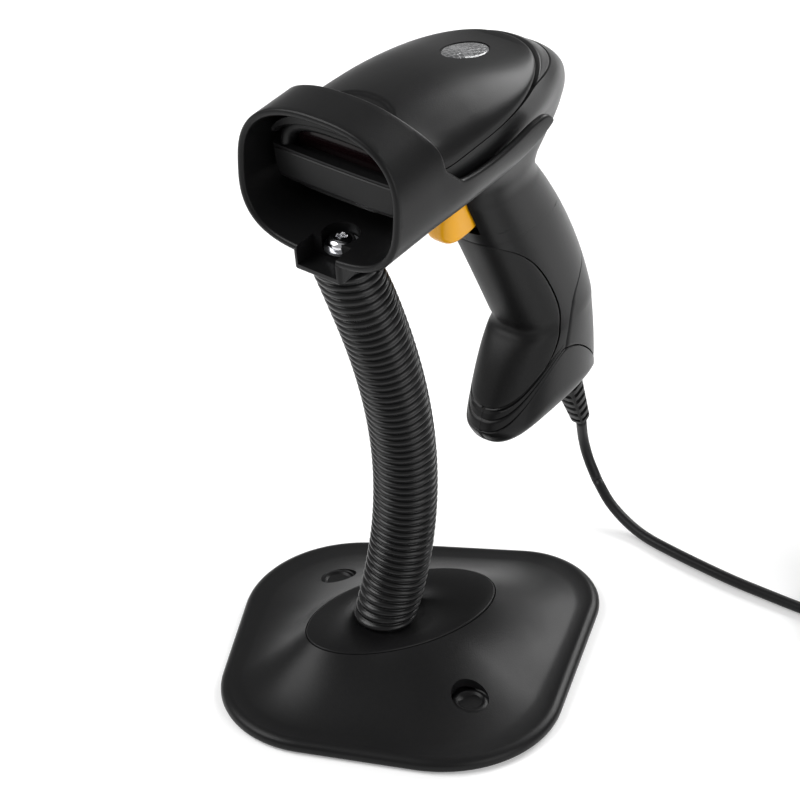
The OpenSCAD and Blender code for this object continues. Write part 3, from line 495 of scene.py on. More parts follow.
def sleeve_rings(radius, s, sides):
    """Circles of the given radii at s along the neck; the end ones turn square to the plate and
    the cup."""
    even = np.linspace(0, 1, 400)
    slope = np.gradient(neck_middle(even), axis=0)
    t = unit(np.stack([np.interp(s, even, column) for column in slope.T], 1))
    low, high = ease(s / 0.12)[:, None], ease((s - 0.85) / 0.15)[:, None]
    t = unit((np.array([0, 0, 1]) * (1 - low) + t * low) * (1 - high) + head_axes[:, 2] * high)
    return rings(neck_middle(s), t, unit(np.cross(t, (1, 0, 0))), radius, sides)


rib_s = np.linspace(0, 1, neck_ribs * 10 + 1)
rib_phase = np.abs(2 * ((rib_s * neck_ribs) % 1) - 1)
sleeve = grid_mesh("neck_ribs", np.concatenate([
    sleeve_rings(0.0115 - 0.0015 * rib_phase ** 2.6, rib_s, 56),
    sleeve_rings(0.0084, np.linspace(1, 0, 24), 56)]), loop=True)
pvc_sleeve = moulded("pvc_sleeve", (0.0045, 0.0045, 0.0048), grain=1300, depth=0.25,
                     gloss=(0.25, 0.34), dust=0.012, shine=0.28)
finish(sleeve, pvc_sleeve, "black_pvc", "neck_sleeve")
core = grid_mesh("neck_rod", sleeve_rings(0.006, np.linspace(0, 1, 48), 28))
wound_steel = moulded("wound_steel", (0.3, 0.3, 0.305), grain=700, depth=0.3,
                      gloss=(0.3, 0.42), dust=0.03, metallic=1.0)
finish(core, wound_steel, "steel", "neck_core")
for bending in (sleeve, core):
    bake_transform(bending)


# ---------------------------------------------------------------- cup
# The cup is one black ABS moulding: a closed ring round the nose of the scanner, a springy
# arm along each side of the head and a short floor over the trough that takes the neck.
def cup_section(t, depth):
    """Cross-section of the cup: a superellipse, squarer below its middle, moved inwards by depth
    (mm)."""
    c, s = np.cos(t), np.sin(t)
    n = np.where(s > 0, 2.5, 3.0)
    tall = np.where(s > 0, 24.6, 25.4) - depth
    return (33 - depth) * signed_power(c, 2 / n), tall * signed_power(s, 2 / n)


dense_t = np.radians(90 - 180 * (0.5 - 0.5 * np.cos(np.linspace(0, np.pi, 4000))))
dense_x, dense_z = cup_section(dense_t, 0)
dense_u = np.r_[0, np.cumsum(np.hypot(np.diff(dense_x), np.diff(dense_z)))]


def around(t_degrees):
    """Arc length from the top of the cup's section to an angle in degrees."""
    return np.interp(-np.radians(t_degrees), -dense_t, dense_u)


def rear_edge():
    """Rear edge of the cup from the middle of the floor, round an arm, to the top of the ring, as
    rows (u, y)."""
    k = np.linspace(0, 5.2, 30)
    floor = np.stack([around(-90 + 8.5 * k), 42 - 7 * (k / 6) ** 2], 1)
    y = np.linspace(37.5, 82.5, 60)
    low = np.stack([around(-46 + 34 * np.clip((y - 46) / 36.5, 0, 1) ** 1.5), y], 1)
    y = np.linspace(82.5, 32, 70)
    top = np.stack([around(-3 - 3 * np.sin(np.pi * np.clip((70 - y) / 40, 0, 1))
                           - 7 * np.clip((y - 76) / 6.5, 0, 1) ** 2), y], 1)
    z = np.linspace(0.8, 24.6, 60)
    ring = np.stack([np.interp(z, dense_z[::-1], dense_u[::-1]),
                     19.5 + 5 * ease((24.6 - z) / 16) + 4 * ease((5 - z) / 6)], 1)
    ring[-1, 0] = 0
    edge = resampled(np.vstack([floor, low, top, ring]), 460)
    for _ in range(14):
        edge[1:-1] = (edge[:-2] + 2 * edge[1:-1] + edge[2:]) / 4
    return edge


def rounded_sheet(front, rear, spacing, wall, corner, place):
    """Fills the flat area between two edges with triangles and gives it a wall whose free edges are
    rounded as quarter circles. place(u, y, h) puts a flat point at the height h over the middle
    skin."""
    def inward(edge, far):
        t = unit(np.gradient(edge, axis=0))
        moved = edge + far * np.stack([-t[:, 1], t[:, 0]], 1)
        moved[[0, -1], 0] = edge[[0, -1], 0]
        return moved

    def seam(a, b):
        return np.linspace(a, b, int(abs(a[1] - b[1]) / spacing))[1:-1]

    steps = [corner * (1 - math.cos(a)) for a in np.linspace(0, np.pi / 2, 6)]
    loops = [inward(e, d) for d in steps[1:] for e in (front, rear)]
    outline = np.vstack([front, seam(front[-1], rear[0]), rear, seam(rear[-1], front[0])])
    u, y = np.meshgrid(np.arange(spacing, outline[:, 0].max(), spacing),
                       np.arange(outline[:, 1].min(), outline[:, 1].max(), spacing))
    inner = np.stack([u.ravel(), y.ravel()], 1)
    a, b = outline, np.roll(outline, -1, 0)
    high = inner[:, None, 1]
    cross = (a[:, 1] > high) != (b[:, 1] > high)
    share = (high - a[:, 1]) / (b[:, 1] - a[:, 1] + 1e-12)
    at = a[:, 0] + share * (b - a)[:, 0]
    inner = inner[(cross & (inner[:, None, 0] < at)).sum(1) % 2 == 1]
    near = np.sqrt(((inner[:, None] - np.vstack([front, rear])) ** 2).sum(2).min(1))
    points = np.vstack([outline, *loops, inner[near > corner + 0.4 * spacing]])
    n = len(outline)
    flat, _, tri, *_ = delaunay_2d_cdt([Vector(p) for p in points],
                                       [(k, (k + 1) % n) for k in range(n)], [], 1, 1e-5)
    flat, tri = np.array([tuple(v) for v in flat]), np.array(tri)
    start = np.vstack([front[:-1], rear[:-1]])
    segment = np.vstack([front[1:], rear[1:]]) - start
    rel = flat[:, None] - start
    s = np.clip((rel * segment).sum(2) / (segment ** 2).sum(1), 0, 1)
    depth = np.sqrt(((rel - s[..., None] * segment) ** 2).sum(2).min(1))
    depth[depth < 1e-4] = 0
    h = wall / 2 * np.sqrt(1 - (1 - np.clip(depth / corner, 0, 1)) ** 2)
    e, f = flat[tri[:, 1]] - flat[tri[:, 0]], flat[tri[:, 2]] - flat[tri[:, 0]]
    turn = e[:, 0] * f[:, 1] - e[:, 1] * f[:, 0]
    tri = np.where((turn > 0)[:, None], tri, tri[:, ::-1])
    count = np.arange(len(flat))
    merge = np.where(h == 0, count, count + len(flat))
    skins = [place(flat[:, 0], flat[:, 1], side * h) for side in (1, -1)]
    return np.vstack(skins), np.vstack([tri, merge[tri][:, ::-1]])


def cup_place(u, y, h):
    """Point of the cup at arc length u, distance y and height h over the middle of its wall."""
    t, step, middle = np.interp(u, dense_u, dense_t), 1e-3, 1.3
    x, z = cup_section(t, middle)
    x2, z2 = cup_section(np.clip(t - step, -np.pi / 2, np.pi / 2), middle)
    x1, z1 = cup_section(np.clip(t + step, -np.pi / 2, np.pi / 2), middle)
    n = unit(np.stack([-(z2 - z1), x2 - x1], 1))
    n[u <= 0] = (0, 1)
    n[u >= dense_u[-1]] = (0, -1)
    flare = 0.8 * ease((y - 19.5) / 21) * (np.abs(x) / 31)
    px = np.where((u <= 0) | (u >= dense_u[-1]), 0, x) + n[:, 0] * h + flare
    return np.stack([px, y, z + n[:, 1] * h], 1)


front_u = np.linspace(0, dense_u[-1], 150)
front = np.stack([front_u, -1.2 + 0.13 * np.interp(front_u, dense_u, dense_z)], 1)
cup_points, cup_faces = rounded_sheet(front, rear_edge(), spacing=1.5, wall=2.6, corner=1.1,
                                      place=cup_place)


def mirrored_mesh(name, points, faces):
    """Joins a right half to its mirror image across x = 0 of the head and puts it in the frame."""
    both = np.vstack([points, points * [-1, 1, 1]])
    every = np.vstack([faces, (faces + len(points))[:, ::-1]])
    return mesh_object(name, in_head(both), every.tolist(), weld=1e-6)


cup = mirrored_mesh("cup_shell", cup_points, cup_faces)
abs_cup = moulded("abs_cup", (0.0052, 0.0052, 0.0055), grain=1900, depth=0.28,
                  gloss=(0.3, 0.4), dust=0.012)


def trough_block(rows):
    """Solid through a rounded plan outline in the head's axes; each row is (z, inset)."""
    half, low = np.pi / 2, 0.05
    corners = [(-8.4, -3.2, 1.4, 2 * half, 3 * half), (8.4, -3.2, 1.4, 3 * half, 4 * half),
               (5.5, 18, 4, low, half), (-5.5, 18, 4, half, 2 * half - low)]
    grid = [[(x + (r - d) * math.cos(a), y + (r - d) * math.sin(a), z)
             for x, y, r, start, end in corners for a in np.linspace(start, end, 12)]
            for z, d in rows]
    return grid_mesh("trough", in_head(np.array(grid)))


trough_low = -31.8
boss = trough_block([(trough_low, 0.5), (-31.65, 0.2), (-31.4, 0.05), (-31.0, 0), (-27, 0),
                     (-24.4, 0)])


def head_prism(name, outline, low, high):
    """Straight prism over a plan outline in the head's axes."""
    grid = np.array([[(x, y, z) for x, y in outline] for z in (low, high)])
    return grid_mesh(name, in_head(grid), smooth=False)


def oval(x, y, rx, ry, sides):
    """Plan outline of an oval."""
    c, s = circle(sides)
    return np.stack([x + rx * c, y + ry * s], 1)


slot_cut = head_prism("trough_slot", [(-8, -8), (8, -8), (8, 4), (-8, 4)], -29.8, -20.5)
pocket_cut = head_prism("screw_pocket", oval(neck_x, neck_y, 6.5, 6.5, 64), -27.8, -19.8)
carved(cup, [slot_cut, pocket_cut], add=[boss])
finish(cup, abs_cup, "black_abs", "cup")
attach(cup, "cup")


# ---------------------------------------------------------------- neck screw
# A chrome cross-head screw over a steel washer clamps the cup to the end of the neck. It stands
# in the round pocket of the cup's floor.
def screw_head(radius, rise, slot):
    """Pan head as a height field on rings: a dome less a tapered cross recess."""
    r = np.r_[np.linspace(0.02, radius * 0.7, 34), np.linspace(radius * 0.72, radius, 10)][:, None]
    c, s = circle(120)
    x, y = r * c, r * s
    dome = rise * (1 - (r / radius) ** 3.2) ** 0.5 + 0 * x
    turn, recess = 0.35, 1.5
    p = np.abs(np.cos(turn) * x + np.sin(turn) * y)
    q = np.abs(np.cos(turn) * y - np.sin(turn) * x)
    arm = np.minimum(np.maximum(p / (slot * 2.6), q / slot),
                     np.maximum(q / (slot * 2.6), p / slot))
    dome -= recess * ease((1.25 - arm) / 0.5) * (1 - 0.35 * np.hypot(x, y) / radius)
    side = [np.stack([radius * c, radius * s, np.full(len(c), -h)], -1) for h in (0.5, 0.35)]
    return np.concatenate([side, np.stack([x, y, dome], -1)[::-1]])


screw_place = np.array([neck_x, neck_y, trough_low + 5.6])
screw = grid_mesh("neck_screw", in_head(screw_head(4.8, 2.5, 0.62) + screw_place))
screw.data.set_sharp_from_angle(angle=math.radians(50))
chrome = moulded("chrome_plate", (0.72, 0.72, 0.74), grain=90, depth=0.04,
                 gloss=(0.06, 0.16), dust=0.02, metallic=1.0)
finish(screw, chrome, "chrome", "cup_screw")
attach(screw, "cup")


# ---------------------------------------------------------------- housing
# The lower casing is two black ABS halves that meet in the middle plane. It carries the
# handle, a slot for the trigger, and recesses for the soft pad and the spine cover.
def smooth_table(rows):
    """Cubic curve through rows of (place, value) whose slopes never overshoot."""
    x, y = np.array(rows, float).T
    gap = np.diff(y) / np.diff(x)
    twice = gap[1:] * gap[:-1]
    even = np.where(twice > 0, 2 * twice / (gap[1:] + gap[:-1] + 1e-12), 0)
    slope = np.r_[gap[0], even, gap[-1]]

    def read(v):
        v = np.clip(v, x[0], x[-1])
        k = np.clip(np.searchsorted(x, v) - 1, 0, len(x) - 2)
        h = x[k + 1] - x[k]
        s = (v - x[k]) / h
        return ((2 * s ** 3 - 3 * s ** 2 + 1) * y[k] + (s ** 3 - 2 * s ** 2 + s) * h * slope[k]
                + (3 * s ** 2 - 2 * s ** 3) * y[k + 1] + (s ** 3 - s ** 2) * h * slope[k + 1])
    return read


# Heights in the head's axes: the casing's top and its end at the foot cap, the tops of the pad and
# of the spine cover, and the depth of the recess that both of them lie in.
casing_top, handle_end, pad_top, spine_top = 1.5, -154, -64, -94
recess_depth = 2.3
down = np.r_[109, 104, 100, 95, 90, 85, 81, 78, 76, 74, 72, 70, 65, 58, 48, 36, 24, 12, 3]
toe = 35 * np.clip((down - 71.5) / 32, 0, 1) ** 0.72
slice_back = smooth_table([
    *zip(-45 - down, 106 + 0.68 * down - 0.0034 * down ** 2), (-45, 106), (-40, 105), (-36, 106.5),
    (-30, 114.5), (-26, 120.5), (-22, 124), (-18, 125.5), (-14, 124.5), (-10, 121.5), (-6, 117.3),
    (-2, 111.8), (2, 106.5), (5, 101)])
slice_front = smooth_table([*zip(-45 - down, 66 + 0.41 * down - toe), (-45, 66), (-38, 64),
                            (-30, 60), (-24, 51), (-18, 36), (-13, 22), (-9, 2)])
slice_half = smooth_table([(handle_end, 15), (-52, 15), (-45, 15), (-38, 16), (-30, 18.2),
                           (-22, 21.8), (-14, 26.4), (-6, 29.7), (casing_top, 30.2)])
half_gap = 0.06


def mix(a, b, s):
    """Straight blend from a to b."""
    return a * (1 - s) + b * s


def slice_point(z, t, d):
    """Point of the casing's skin at height z and angle t (degrees, -90 in front), moved in by d.
    A slice is a superellipse: round behind, and squarer in front the nearer it is to the head."""
    z, t, d = np.broadcast_arrays(np.asarray(z, float), np.radians(t), np.asarray(d, float))
    c, s = np.maximum(0, np.cos(t)), np.sin(t)
    head = ease((z + 38) / 26)
    front, back = slice_front(z), slice_back(z)
    middle = mix((front + back) / 2, 47 + np.maximum(0, -z) * 0.4, head)
    n = np.where(s > 0, mix(2.3, 2.15, head), mix(2.5, 4.5, head))
    x = (slice_half(z) - d) * c ** (2 / n)
    deep = np.where(s > 0, back - middle, middle - front) - d
    y = middle + deep * signed_power(s, 2 / n)
    return np.stack([np.maximum(x, half_gap), np.maximum(y, 10 + d + x * x / 1500), z], -1)


def part_lift(y):
    """Height of the parting line over its plane: a hump beside the cup, a slow rise to the back."""
    return 3.2 * np.exp(-((y - 18) / 7) ** 2) + 1.5 * np.clip((y - 70) / 36, 0, 1) ** 1.6


def crescent(y):
    """Height of the bumper below the parting line."""
    return 6.2 * ease((y - 80) / 24)


def groove_width(y):
    """Width of the groove under the top cover."""
    return 0.5 + 1.5 * ease((y - 55) / 40)


def foot_line(y):
    """Height of the top edge of the foot cap along the side of the handle."""
    return mix(-151.5, -127.5, ease((y - 68) / 40)) - 25 * np.clip((y - 103) / 33, 0, 1) ** 2


def casing_point(level, t, d):
    """Casing point at a level: a height down to -118, and from there to -119 a share of the way to
    the foot cap."""
    level = np.asarray(level, float) + 0 * np.asarray(t, float)
    v = np.clip(-118 - level, 0, 1)
    z = np.where(level >= -118, level, mix(-118, -140, v))
    y = slice_point(z, t, d)[..., 1]
    top = ease((z + 14) / 15.5)
    high = z + top * (part_lift(y) - crescent(y) - 0.25)
    return slice_point(np.where(level >= -118, high, mix(-118, foot_line(y), v)), t, d)


pad_fit = np.polynomial.Polynomial.fit([-64, -70, -76, -87, -98, -108, -118, -126, -130],
                                       [74, 83.3, 89.4, 97.6, 103, 106.4, 106.4, 101.6, 96.5], 5)


def pad_edge(z):
    """Distance along the head of the pad's edge at a height: a polynomial near given points."""
    return pad_fit(np.clip(z, -134, pad_top)) + 1.9 * np.minimum(0, z + 134)


spine_edge = smooth_table([(handle_end, 110), (-140, 109), (-130, 108.5), (-118, 111.6),
                           (-107, 115), (-101, 120), (spine_top, 129)])


def angle_at(level, edge):
    """Angle round a level at which the casing meets an edge line, found between close samples."""
    t = np.linspace(-89, 89, 600)
    p = casing_point(level, t, 0)
    off = np.maximum.accumulate(p[:, 1] - edge(p[:, 2]) + 1e-7 * t)
    return float(np.interp(0, off, t))


spine_start = angle_at(-94.02, spine_edge)
pad_end = -118.8
slot_top, slot_end, slot_half = -29, -58.6, 6.7


def casing_row(level, d):
    """One row of a casing half: front, side and back runs of columns that meet the edges of the
    pad and the spine cover. Beside the trigger the front run starts at the slot's edge."""
    slot = slot_end < level < slot_top
    n = mix(2.5, 4.5, ease((level + 38) / 26))
    a = -90
    if slot:
        a = -math.degrees(math.acos((slot_half / float(slice_half(level))) ** (n / 2)))
    pad, spine = pad_end < level < pad_top, level < spine_top
    b = angle_at(level, pad_edge) if pad else -9
    c = mix(spine_start, 40, min(1, (level - spine_top) / 40))
    if spine:
        c = angle_at(level, spine_edge)
    side = np.linspace(b + 0.6, c - 0.6, 26)
    line = math.exp(-((level + 118.9) / 0.012) ** 2) * (d == 0)
    pad_sink, spine_sink = recess_depth if pad else line, recess_depth if spine else 0
    return np.vstack([casing_point(level, np.linspace(a, b, 22), d + pad_sink),
                      casing_point(level, side, d + line * ease((20 - side) / 30)),
                      casing_point(level, np.linspace(c, 90, 24), d + spine_sink)])


def sheet_mesh(outer, inner):
    """Points and faces of a walled sheet from its outer and inner grids, closed all round."""
    n, m = outer.shape[:2]
    k = np.arange(n * m).reshape(n, m)
    out = np.stack([k[:-1, :-1], k[:-1, 1:], k[1:, 1:], k[1:, :-1]], -1).reshape(-1, 4)
    rim = np.r_[k[0, :], k[1:, -1], k[-1, -2::-1], k[-2:0:-1, 0]]
    after = np.roll(rim, -1)
    wall = np.stack([after, rim, rim + n * m, after + n * m], 1)
    skins = np.vstack([outer.reshape(-1, 3), inner.reshape(-1, 3)])
    return skins, np.vstack([out, out[:, ::-1] + n * m, wall])


def sheet_piece(name, outer, inner, mirror=False):
    """Smooth object of a walled sheet in the head's axes, or of its mirror image."""
    points, faces = sheet_mesh(outer, inner)
    if mirror:
        points, faces = points * [-1, 1, 1], faces[:, ::-1]
    piece = mesh_object(name, in_head(points), faces.tolist(), weld=2e-6)
    piece.data.set_sharp_from_angle(angle=math.radians(40))
    return piece


steps = [s + e for s in (slot_top, slot_end, pad_top, spine_top, pad_end) for e in (0.02, -0.02)]
levels = sorted({*np.linspace(casing_top, -28.8, 46), *np.linspace(-29.4, -117.8, 104),
                 *np.linspace(-118, -119, 24), *np.linspace(-118.87, -118.93, 11), *steps},
                reverse=True)
abs_black = moulded("abs_black", (0.0052, 0.0052, 0.0055), grain=1900, depth=0.3,
                    gloss=(0.29, 0.38), dust=0.012)
for side in ("left", "right"):
    half = sheet_piece(f"casing_{side}", np.array([casing_row(v, 0) for v in levels]),
                       np.array([casing_row(v, 2) for v in levels]), mirror=side == "left")
    finish(half, abs_black, "black_abs", f"housing_{side}")
    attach(half, "scanner")


nose_z = np.r_[-9.3, -9.25, -9.1, np.linspace(-8.8, 0.9, 22), 1.15, 1.2]
nose_turn = np.linspace(-90, -47, 40)


def nose_skin(d):
    """Skin of the plain panel across the nose: the casing's own front, moved outwards by -d."""
    rows = []
    for z in nose_z:
        near = min(1.0, (z + 9.3) / 0.6, (1.2 - z) / 0.3)
        right = slice_point(z, nose_turn, d + (0.3 if d < -0.2 else 0) * (1 - near))
        right[0, 0] = 0
        rows.append(np.concatenate([right[:0:-1] * [-1, 1, 1], right]))
    return np.array(rows)


nose_panel = sheet_piece("nose_panel", nose_skin(-0.5), nose_skin(-0.05))
finish(nose_panel, abs_black, "black_abs")
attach(nose_panel, "scanner")


# ---------------------------------------------------------------- top cover
# A single smooth ABS shell covers the head. Its front is an open arch with a thick lip over
# the scan window, and it carries a bare oval recess and the oval lamp.
def crown(y):
    """Height of the ridge of the cover along the head."""
    return 18.7 - 12.6 * np.clip((y - 22) / 76, 0, 1) ** 1.7


def cover_point(s, t, d):
    """Cover point: s runs from 0 in the middle to 1 at the edge, t round the head. Across the head
    the height is an ellipse from the edge up to the ridge."""
    base = slice_point(casing_top, t, d)
    edge = casing_top + part_lift(base[..., 1]) + groove_width(base[..., 1]) - 0.25
    p = slice_point(edge, t, d)
    s = s + 0 * p[..., 0]
    x, y = s * np.where(p[..., 0] <= half_gap, 0, p[..., 0]), mix(52, p[..., 1], s)
    in_front = np.asarray(t) + 0 * s < 0
    half = 30.2 * (1 - np.clip((47 - np.maximum(y, 14)) / 45, 0, 1) ** 4.5) ** (1 / 4.5) - d
    q = np.where(in_front, np.minimum(1, x / half), s)
    low = np.where(in_front, mix(edge, casing_top + part_lift(y) + 0.25, ease((1 - s) * 6)), edge)
    rise = np.maximum(crown(y) - d - low, np.where(d > 0, -0.25, 1.5))
    z = low + rise * np.sqrt(np.maximum(0, 1 - q ** 2))
    lip = np.where(np.asarray(d) > 0, 0.214 * ease((18 - y) / 4), 0)
    return np.stack([x, y, z - (z - low) * lip], -1)


lamp_y = 79
shares = np.r_[np.linspace(0.01, 0.9, 46), np.linspace(0.915, 1, 16)]
turns = np.linspace(-90, 90, 121)


def cover_rows(d, rows):
    """Full rings of the cover from the right half and its mirror image."""
    right = cover_point(np.asarray(rows)[:, None], turns[None, :], d)
    return np.concatenate([right, right[:, -2:0:-1] * [-1, 1, 1]], 1)


def recess(points):
    """Sinks the bare oval badge place by 0.55 mm with a soft edge."""
    x, y = points[..., 0], points[..., 1]
    r = np.sqrt((x / 13.5) ** 2 + ((y - 22) / 8.2) ** 2)
    points[..., 2] -= 0.8 * ease((1.06 - r) / 0.17)
    return points


outer_cover = recess(cover_rows(0, shares))
edge_rows = [cover_rows(d, [1])[0] + [0, 0, z]
             for d, z in [(0.12, -0.1), (0.35, -0.2), (1.6, -0.2)]]
cover_grid = np.concatenate([outer_cover, np.array(edge_rows), cover_rows(2, shares[::-1])])
cover = grid_mesh("head_cover", in_head(cover_grid))
lamp_cut = head_prism("lamp_hole", oval(0, lamp_y, 6.75, 10.55, 72), 2, 30)
carved(cover, [lamp_cut])
finish(cover, abs_black, "black_abs", "top_cover")
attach(cover, "scanner")


# ---------------------------------------------------------------- bumper and gasket
# A black rubber crescent wraps the back of the head between the halves and the cover, and
# a gasket sits deep in the groove below the cover.
def both_sides(row):
    """A right-hand row of points followed by its mirror image, without the shared last point."""
    return np.concatenate([row, row[-2::-1] * [-1, 1, 1]])


def band_point(t, d, up):
    """Casing point at a height over the parting line."""
    y = slice_point(casing_top, t, d)[..., 1]
    return slice_point(casing_top + part_lift(y) + up, t, d)


def band(name, start, outside, inside, low, high):
    """Closed band round the back of the head between two heights over the parting line, with its
    long edges rounded off. low and high turn a distance along the head into a height."""
    t = np.linspace(start, 90, 70)
    y = slice_point(casing_top, t, 0)[:, 1]
    on_seam = np.where(np.arange(len(t))[:, None] == len(t) - 1, [0, 1, 1], 1)

    def skin(d):
        rows = []
        for s in np.r_[0, 0.03, np.linspace(0.08, 0.92, 8), 0.97, 1]:
            rounding = 0.25 * max(0, abs(2 * s - 1) - 0.9) * 10
            row = band_point(t, d + rounding, mix(high(y), low(y), s))
            rows.append(both_sides(on_seam * row))
        return np.array(rows)
    return sheet_piece(name, skin(outside), skin(inside))


def bumper_top(y):
    """Top edge of the bumper, just under the parting line."""
    return 0 * y - 0.3


def bumper_foot(y):
    """Lower edge of the bumper: a crescent that is deepest at the back."""
    return np.minimum(-0.36, 0.45 - crescent(y))


def gasket_top(y):
    """Top edge of the gasket, below the cover."""
    return np.maximum(0.2, groove_width(y) - 0.6)


def gasket_foot(y):
    """Lower edge of the gasket."""
    return 0 * y - 0.2


rubber_black = moulded("rubber_black", (0.003, 0.003, 0.003), grain=1100, depth=0.4,
                       gloss=(0.5, 0.62), dust=0.01)
bumper = band("rear_bumper_band", 35.5, 0, 2, bumper_foot, bumper_top)
finish(bumper, abs_black, "dark_trim", "rear_bumper")
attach(bumper, "scanner")
gasket = band("groove_gasket", -34, 1.75, 2.4, gasket_foot, gasket_top)
finish(gasket, rubber_black, "black_rubber", "cover_gasket")
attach(gasket, "scanner")


# ---------------------------------------------------------------- window and lamp
# A dark red acrylic pane closes the scan opening behind a moulded bezel. The oval lamp is
# clear plastic over a net of small lenses, in a thin black ring.
def arch_row(grow, y, low):
    """Closed outline of the scan opening at a depth: a rounded arch on a flat sill."""
    a = np.linspace(0, np.pi, 61)
    half, rise = 22.6 + grow, 11.2 + grow
    sill = np.linspace(-1, 1, 25)[1:-1] * half
    x = np.r_[half * signed_power(np.cos(a), 0.7), sill]
    z = np.r_[casing_top + rise * np.sin(a) ** 0.8, np.full(len(sill), casing_top - low)]
    return np.stack([x, np.full(len(x), y), z], 1)


bezel_rows = [(2.2, 17.2, 0.2), (2.2, 12.0, 0.2), (1.8, 11.3, 0.1), (1.2, 11.0, 0),
              (0.2, 10.95, 0), (-0.7, 11.2, 0), (-1.4, 11.8, 0), (-1.8, 12.6, 0), (-2.3, 16.9, 0)]
bezel = grid_mesh("window_bezel", in_head(np.array([arch_row(*r) for r in bezel_rows])), loop=True)
finish(bezel, abs_black, "black_abs")
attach(bezel, "scanner")
pane = moulded("acrylic_pane", (0.006, 0.0018, 0.0025), grain=260, depth=0.02,
               gloss=(0.05, 0.1), dust=0.015, shine=0.14)


def dome_height(x, y):
    """Height of the cover over a point of its plan."""
    edge = 1.25 + part_lift(y) + groove_width(y)
    s = np.minimum(1, np.sqrt((x / 30.2) ** 2 + ((y - 52) / 50) ** 2))
    return edge + (crown(y) - edge) * np.sqrt(1 - s ** 2)


def lens_rows(shape):
    """Oval rings for (scale, height over the cover) pairs."""
    rows = []
    for g, up in shape:
        x, y = oval(0, lamp_y, g * 6.45, g * 10.25, 96).T
        rows.append(np.stack([x, y, dome_height(x, y) + up], 1))
    return np.array(rows)


lens_dome = [(g, 0.62 - 0.5 * g ** 2.4) for g in np.linspace(0.1, 0.93, 12)]
lens_shape = [(0.02, 0.62), *lens_dome, (0.97, 0.02), (1, -0.15), (1, -1.6), (0.5, -1.6),
              (0.02, -1.6)]
lens = grid_mesh("lamp_lens", in_head(lens_rows(lens_shape)[::-1]))
lamp_ring = grid_mesh("lamp_ring", in_head(lens_rows([
    (1.0, -1.5), (1.045, -1.5), (1.05, -0.1), (1.045, 0.02), (1.01, 0.02), (1, -0.1)])), loop=True)


def honeycomb_lens():
    """Clear grey plastic with a net of small hexagonal lenses under the gloss."""
    grey = (0.2, 0.2, 0.205)
    m = moulded("lamp_clear", grey, grain=400, depth=0.03, gloss=(0.1, 0.2), dust=0.03, coat=0.9)
    tree, shader = m.node_tree, m.node_tree.nodes["Principled BSDF"]
    place = add_node(tree, "TexCoord")
    cells = add_node(tree, "TexVoronoi", {"Scale": 520, "Randomness": 0.35},
                     feature="DISTANCE_TO_EDGE", voronoi_dimensions="3D")
    edge = add_node(tree, "MapRange", {"From Max": 0.22})
    tone = add_node(tree, "Mix", {"A": (*grey, 1), "B": (0.055, 0.056, 0.058, 1)}, data_type="RGBA")
    bump = add_node(tree, "Bump", {"Strength": 0.5, "Distance": 0.0003})
    wire(tree, (place, "Object", cells, "Vector"), (cells, "Distance", edge, "Value"),
         (edge, "Result", tone, "Factor"), (tone, "Result", shader, "Base Color"),
         (edge, "Result", bump, "Height"), (bump, "Normal", shader, "Normal"))
    return m


finish(lens, honeycomb_lens(), "clear_lens", "lamp_window")
finish(lamp_ring, abs_black, "black_abs")
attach(lens, "scanner")
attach(lamp_ring, "scanner")


# ---------------------------------------------------------------- grip pad and spine cover
# A soft rubber pad is moulded round the front of the handle, and a harder cover closes its
# back. Both lie flush in recesses and have small round edges.
def wrapped_sheet(name, edge, rows, turn, gap):
    """Sheet wrapped round the front (-90) or the back (90) of the handle, from the middle line out
    to an edge and back on the other side. Its skin dips along its rim in a quarter circle."""
    columns, thick, round_r, round_depth = 34, 1.8, 2.4, 0.55
    share = 1 - (1 - np.linspace(0, 1, columns)) ** 1.5
    rim = np.array([angle_at(v, edge) + gap for v in rows])[:, None]
    v, t = np.broadcast_to(rows[:, None], (len(rows), columns)), mix(turn, rim, share)
    count = np.arange(len(rows))[:, None]
    ends = np.minimum(count, len(rows) - 1 - count)
    near = np.minimum((1 - share) * abs(turn - rim) / round_r, 1) * np.minimum(ends / 3, 1)
    dip = round_depth * (1 - np.sqrt(np.maximum(0, 1 - (1 - near) ** 2)))

    def skin(d):
        right = casing_point(v, t, d)
        right[:, 0, 0] = 0
        return np.concatenate([right[:, :0:-1] * [-1, 1, 1], right], 1)
    return sheet_piece(name, skin(dip), skin(thick))


pad_levels = np.r_[-64.2, -64.35, -64.6, -65, np.linspace(-65.6, -117.6, 70),
                   np.linspace(-118, -118.74, 22)[:-1], -118.752, -118.762, -118.768]
grip_rubber = moulded("grip_rubber", (0.0045, 0.0045, 0.0047), grain=2100, depth=0.45,
                      gloss=(0.38, 0.5), dust=0.015)
pad = wrapped_sheet("grip_skin", pad_edge, pad_levels, -90, -0.5)
finish(pad, grip_rubber, "black_rubber", "grip_pad")
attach(pad, "scanner")
spine_levels = np.r_[-94.15, -94.3, -94.6, np.linspace(-95.2, -117.6, 40),
                     np.linspace(-118, -118.97, 24)[:-1], -118.975, -118.985]
spine = wrapped_sheet("spine_skin", spine_edge, spine_levels, 90, 0.6)
finish(spine, abs_black, "dark_trim", "spine_cover")
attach(spine, "scanner")


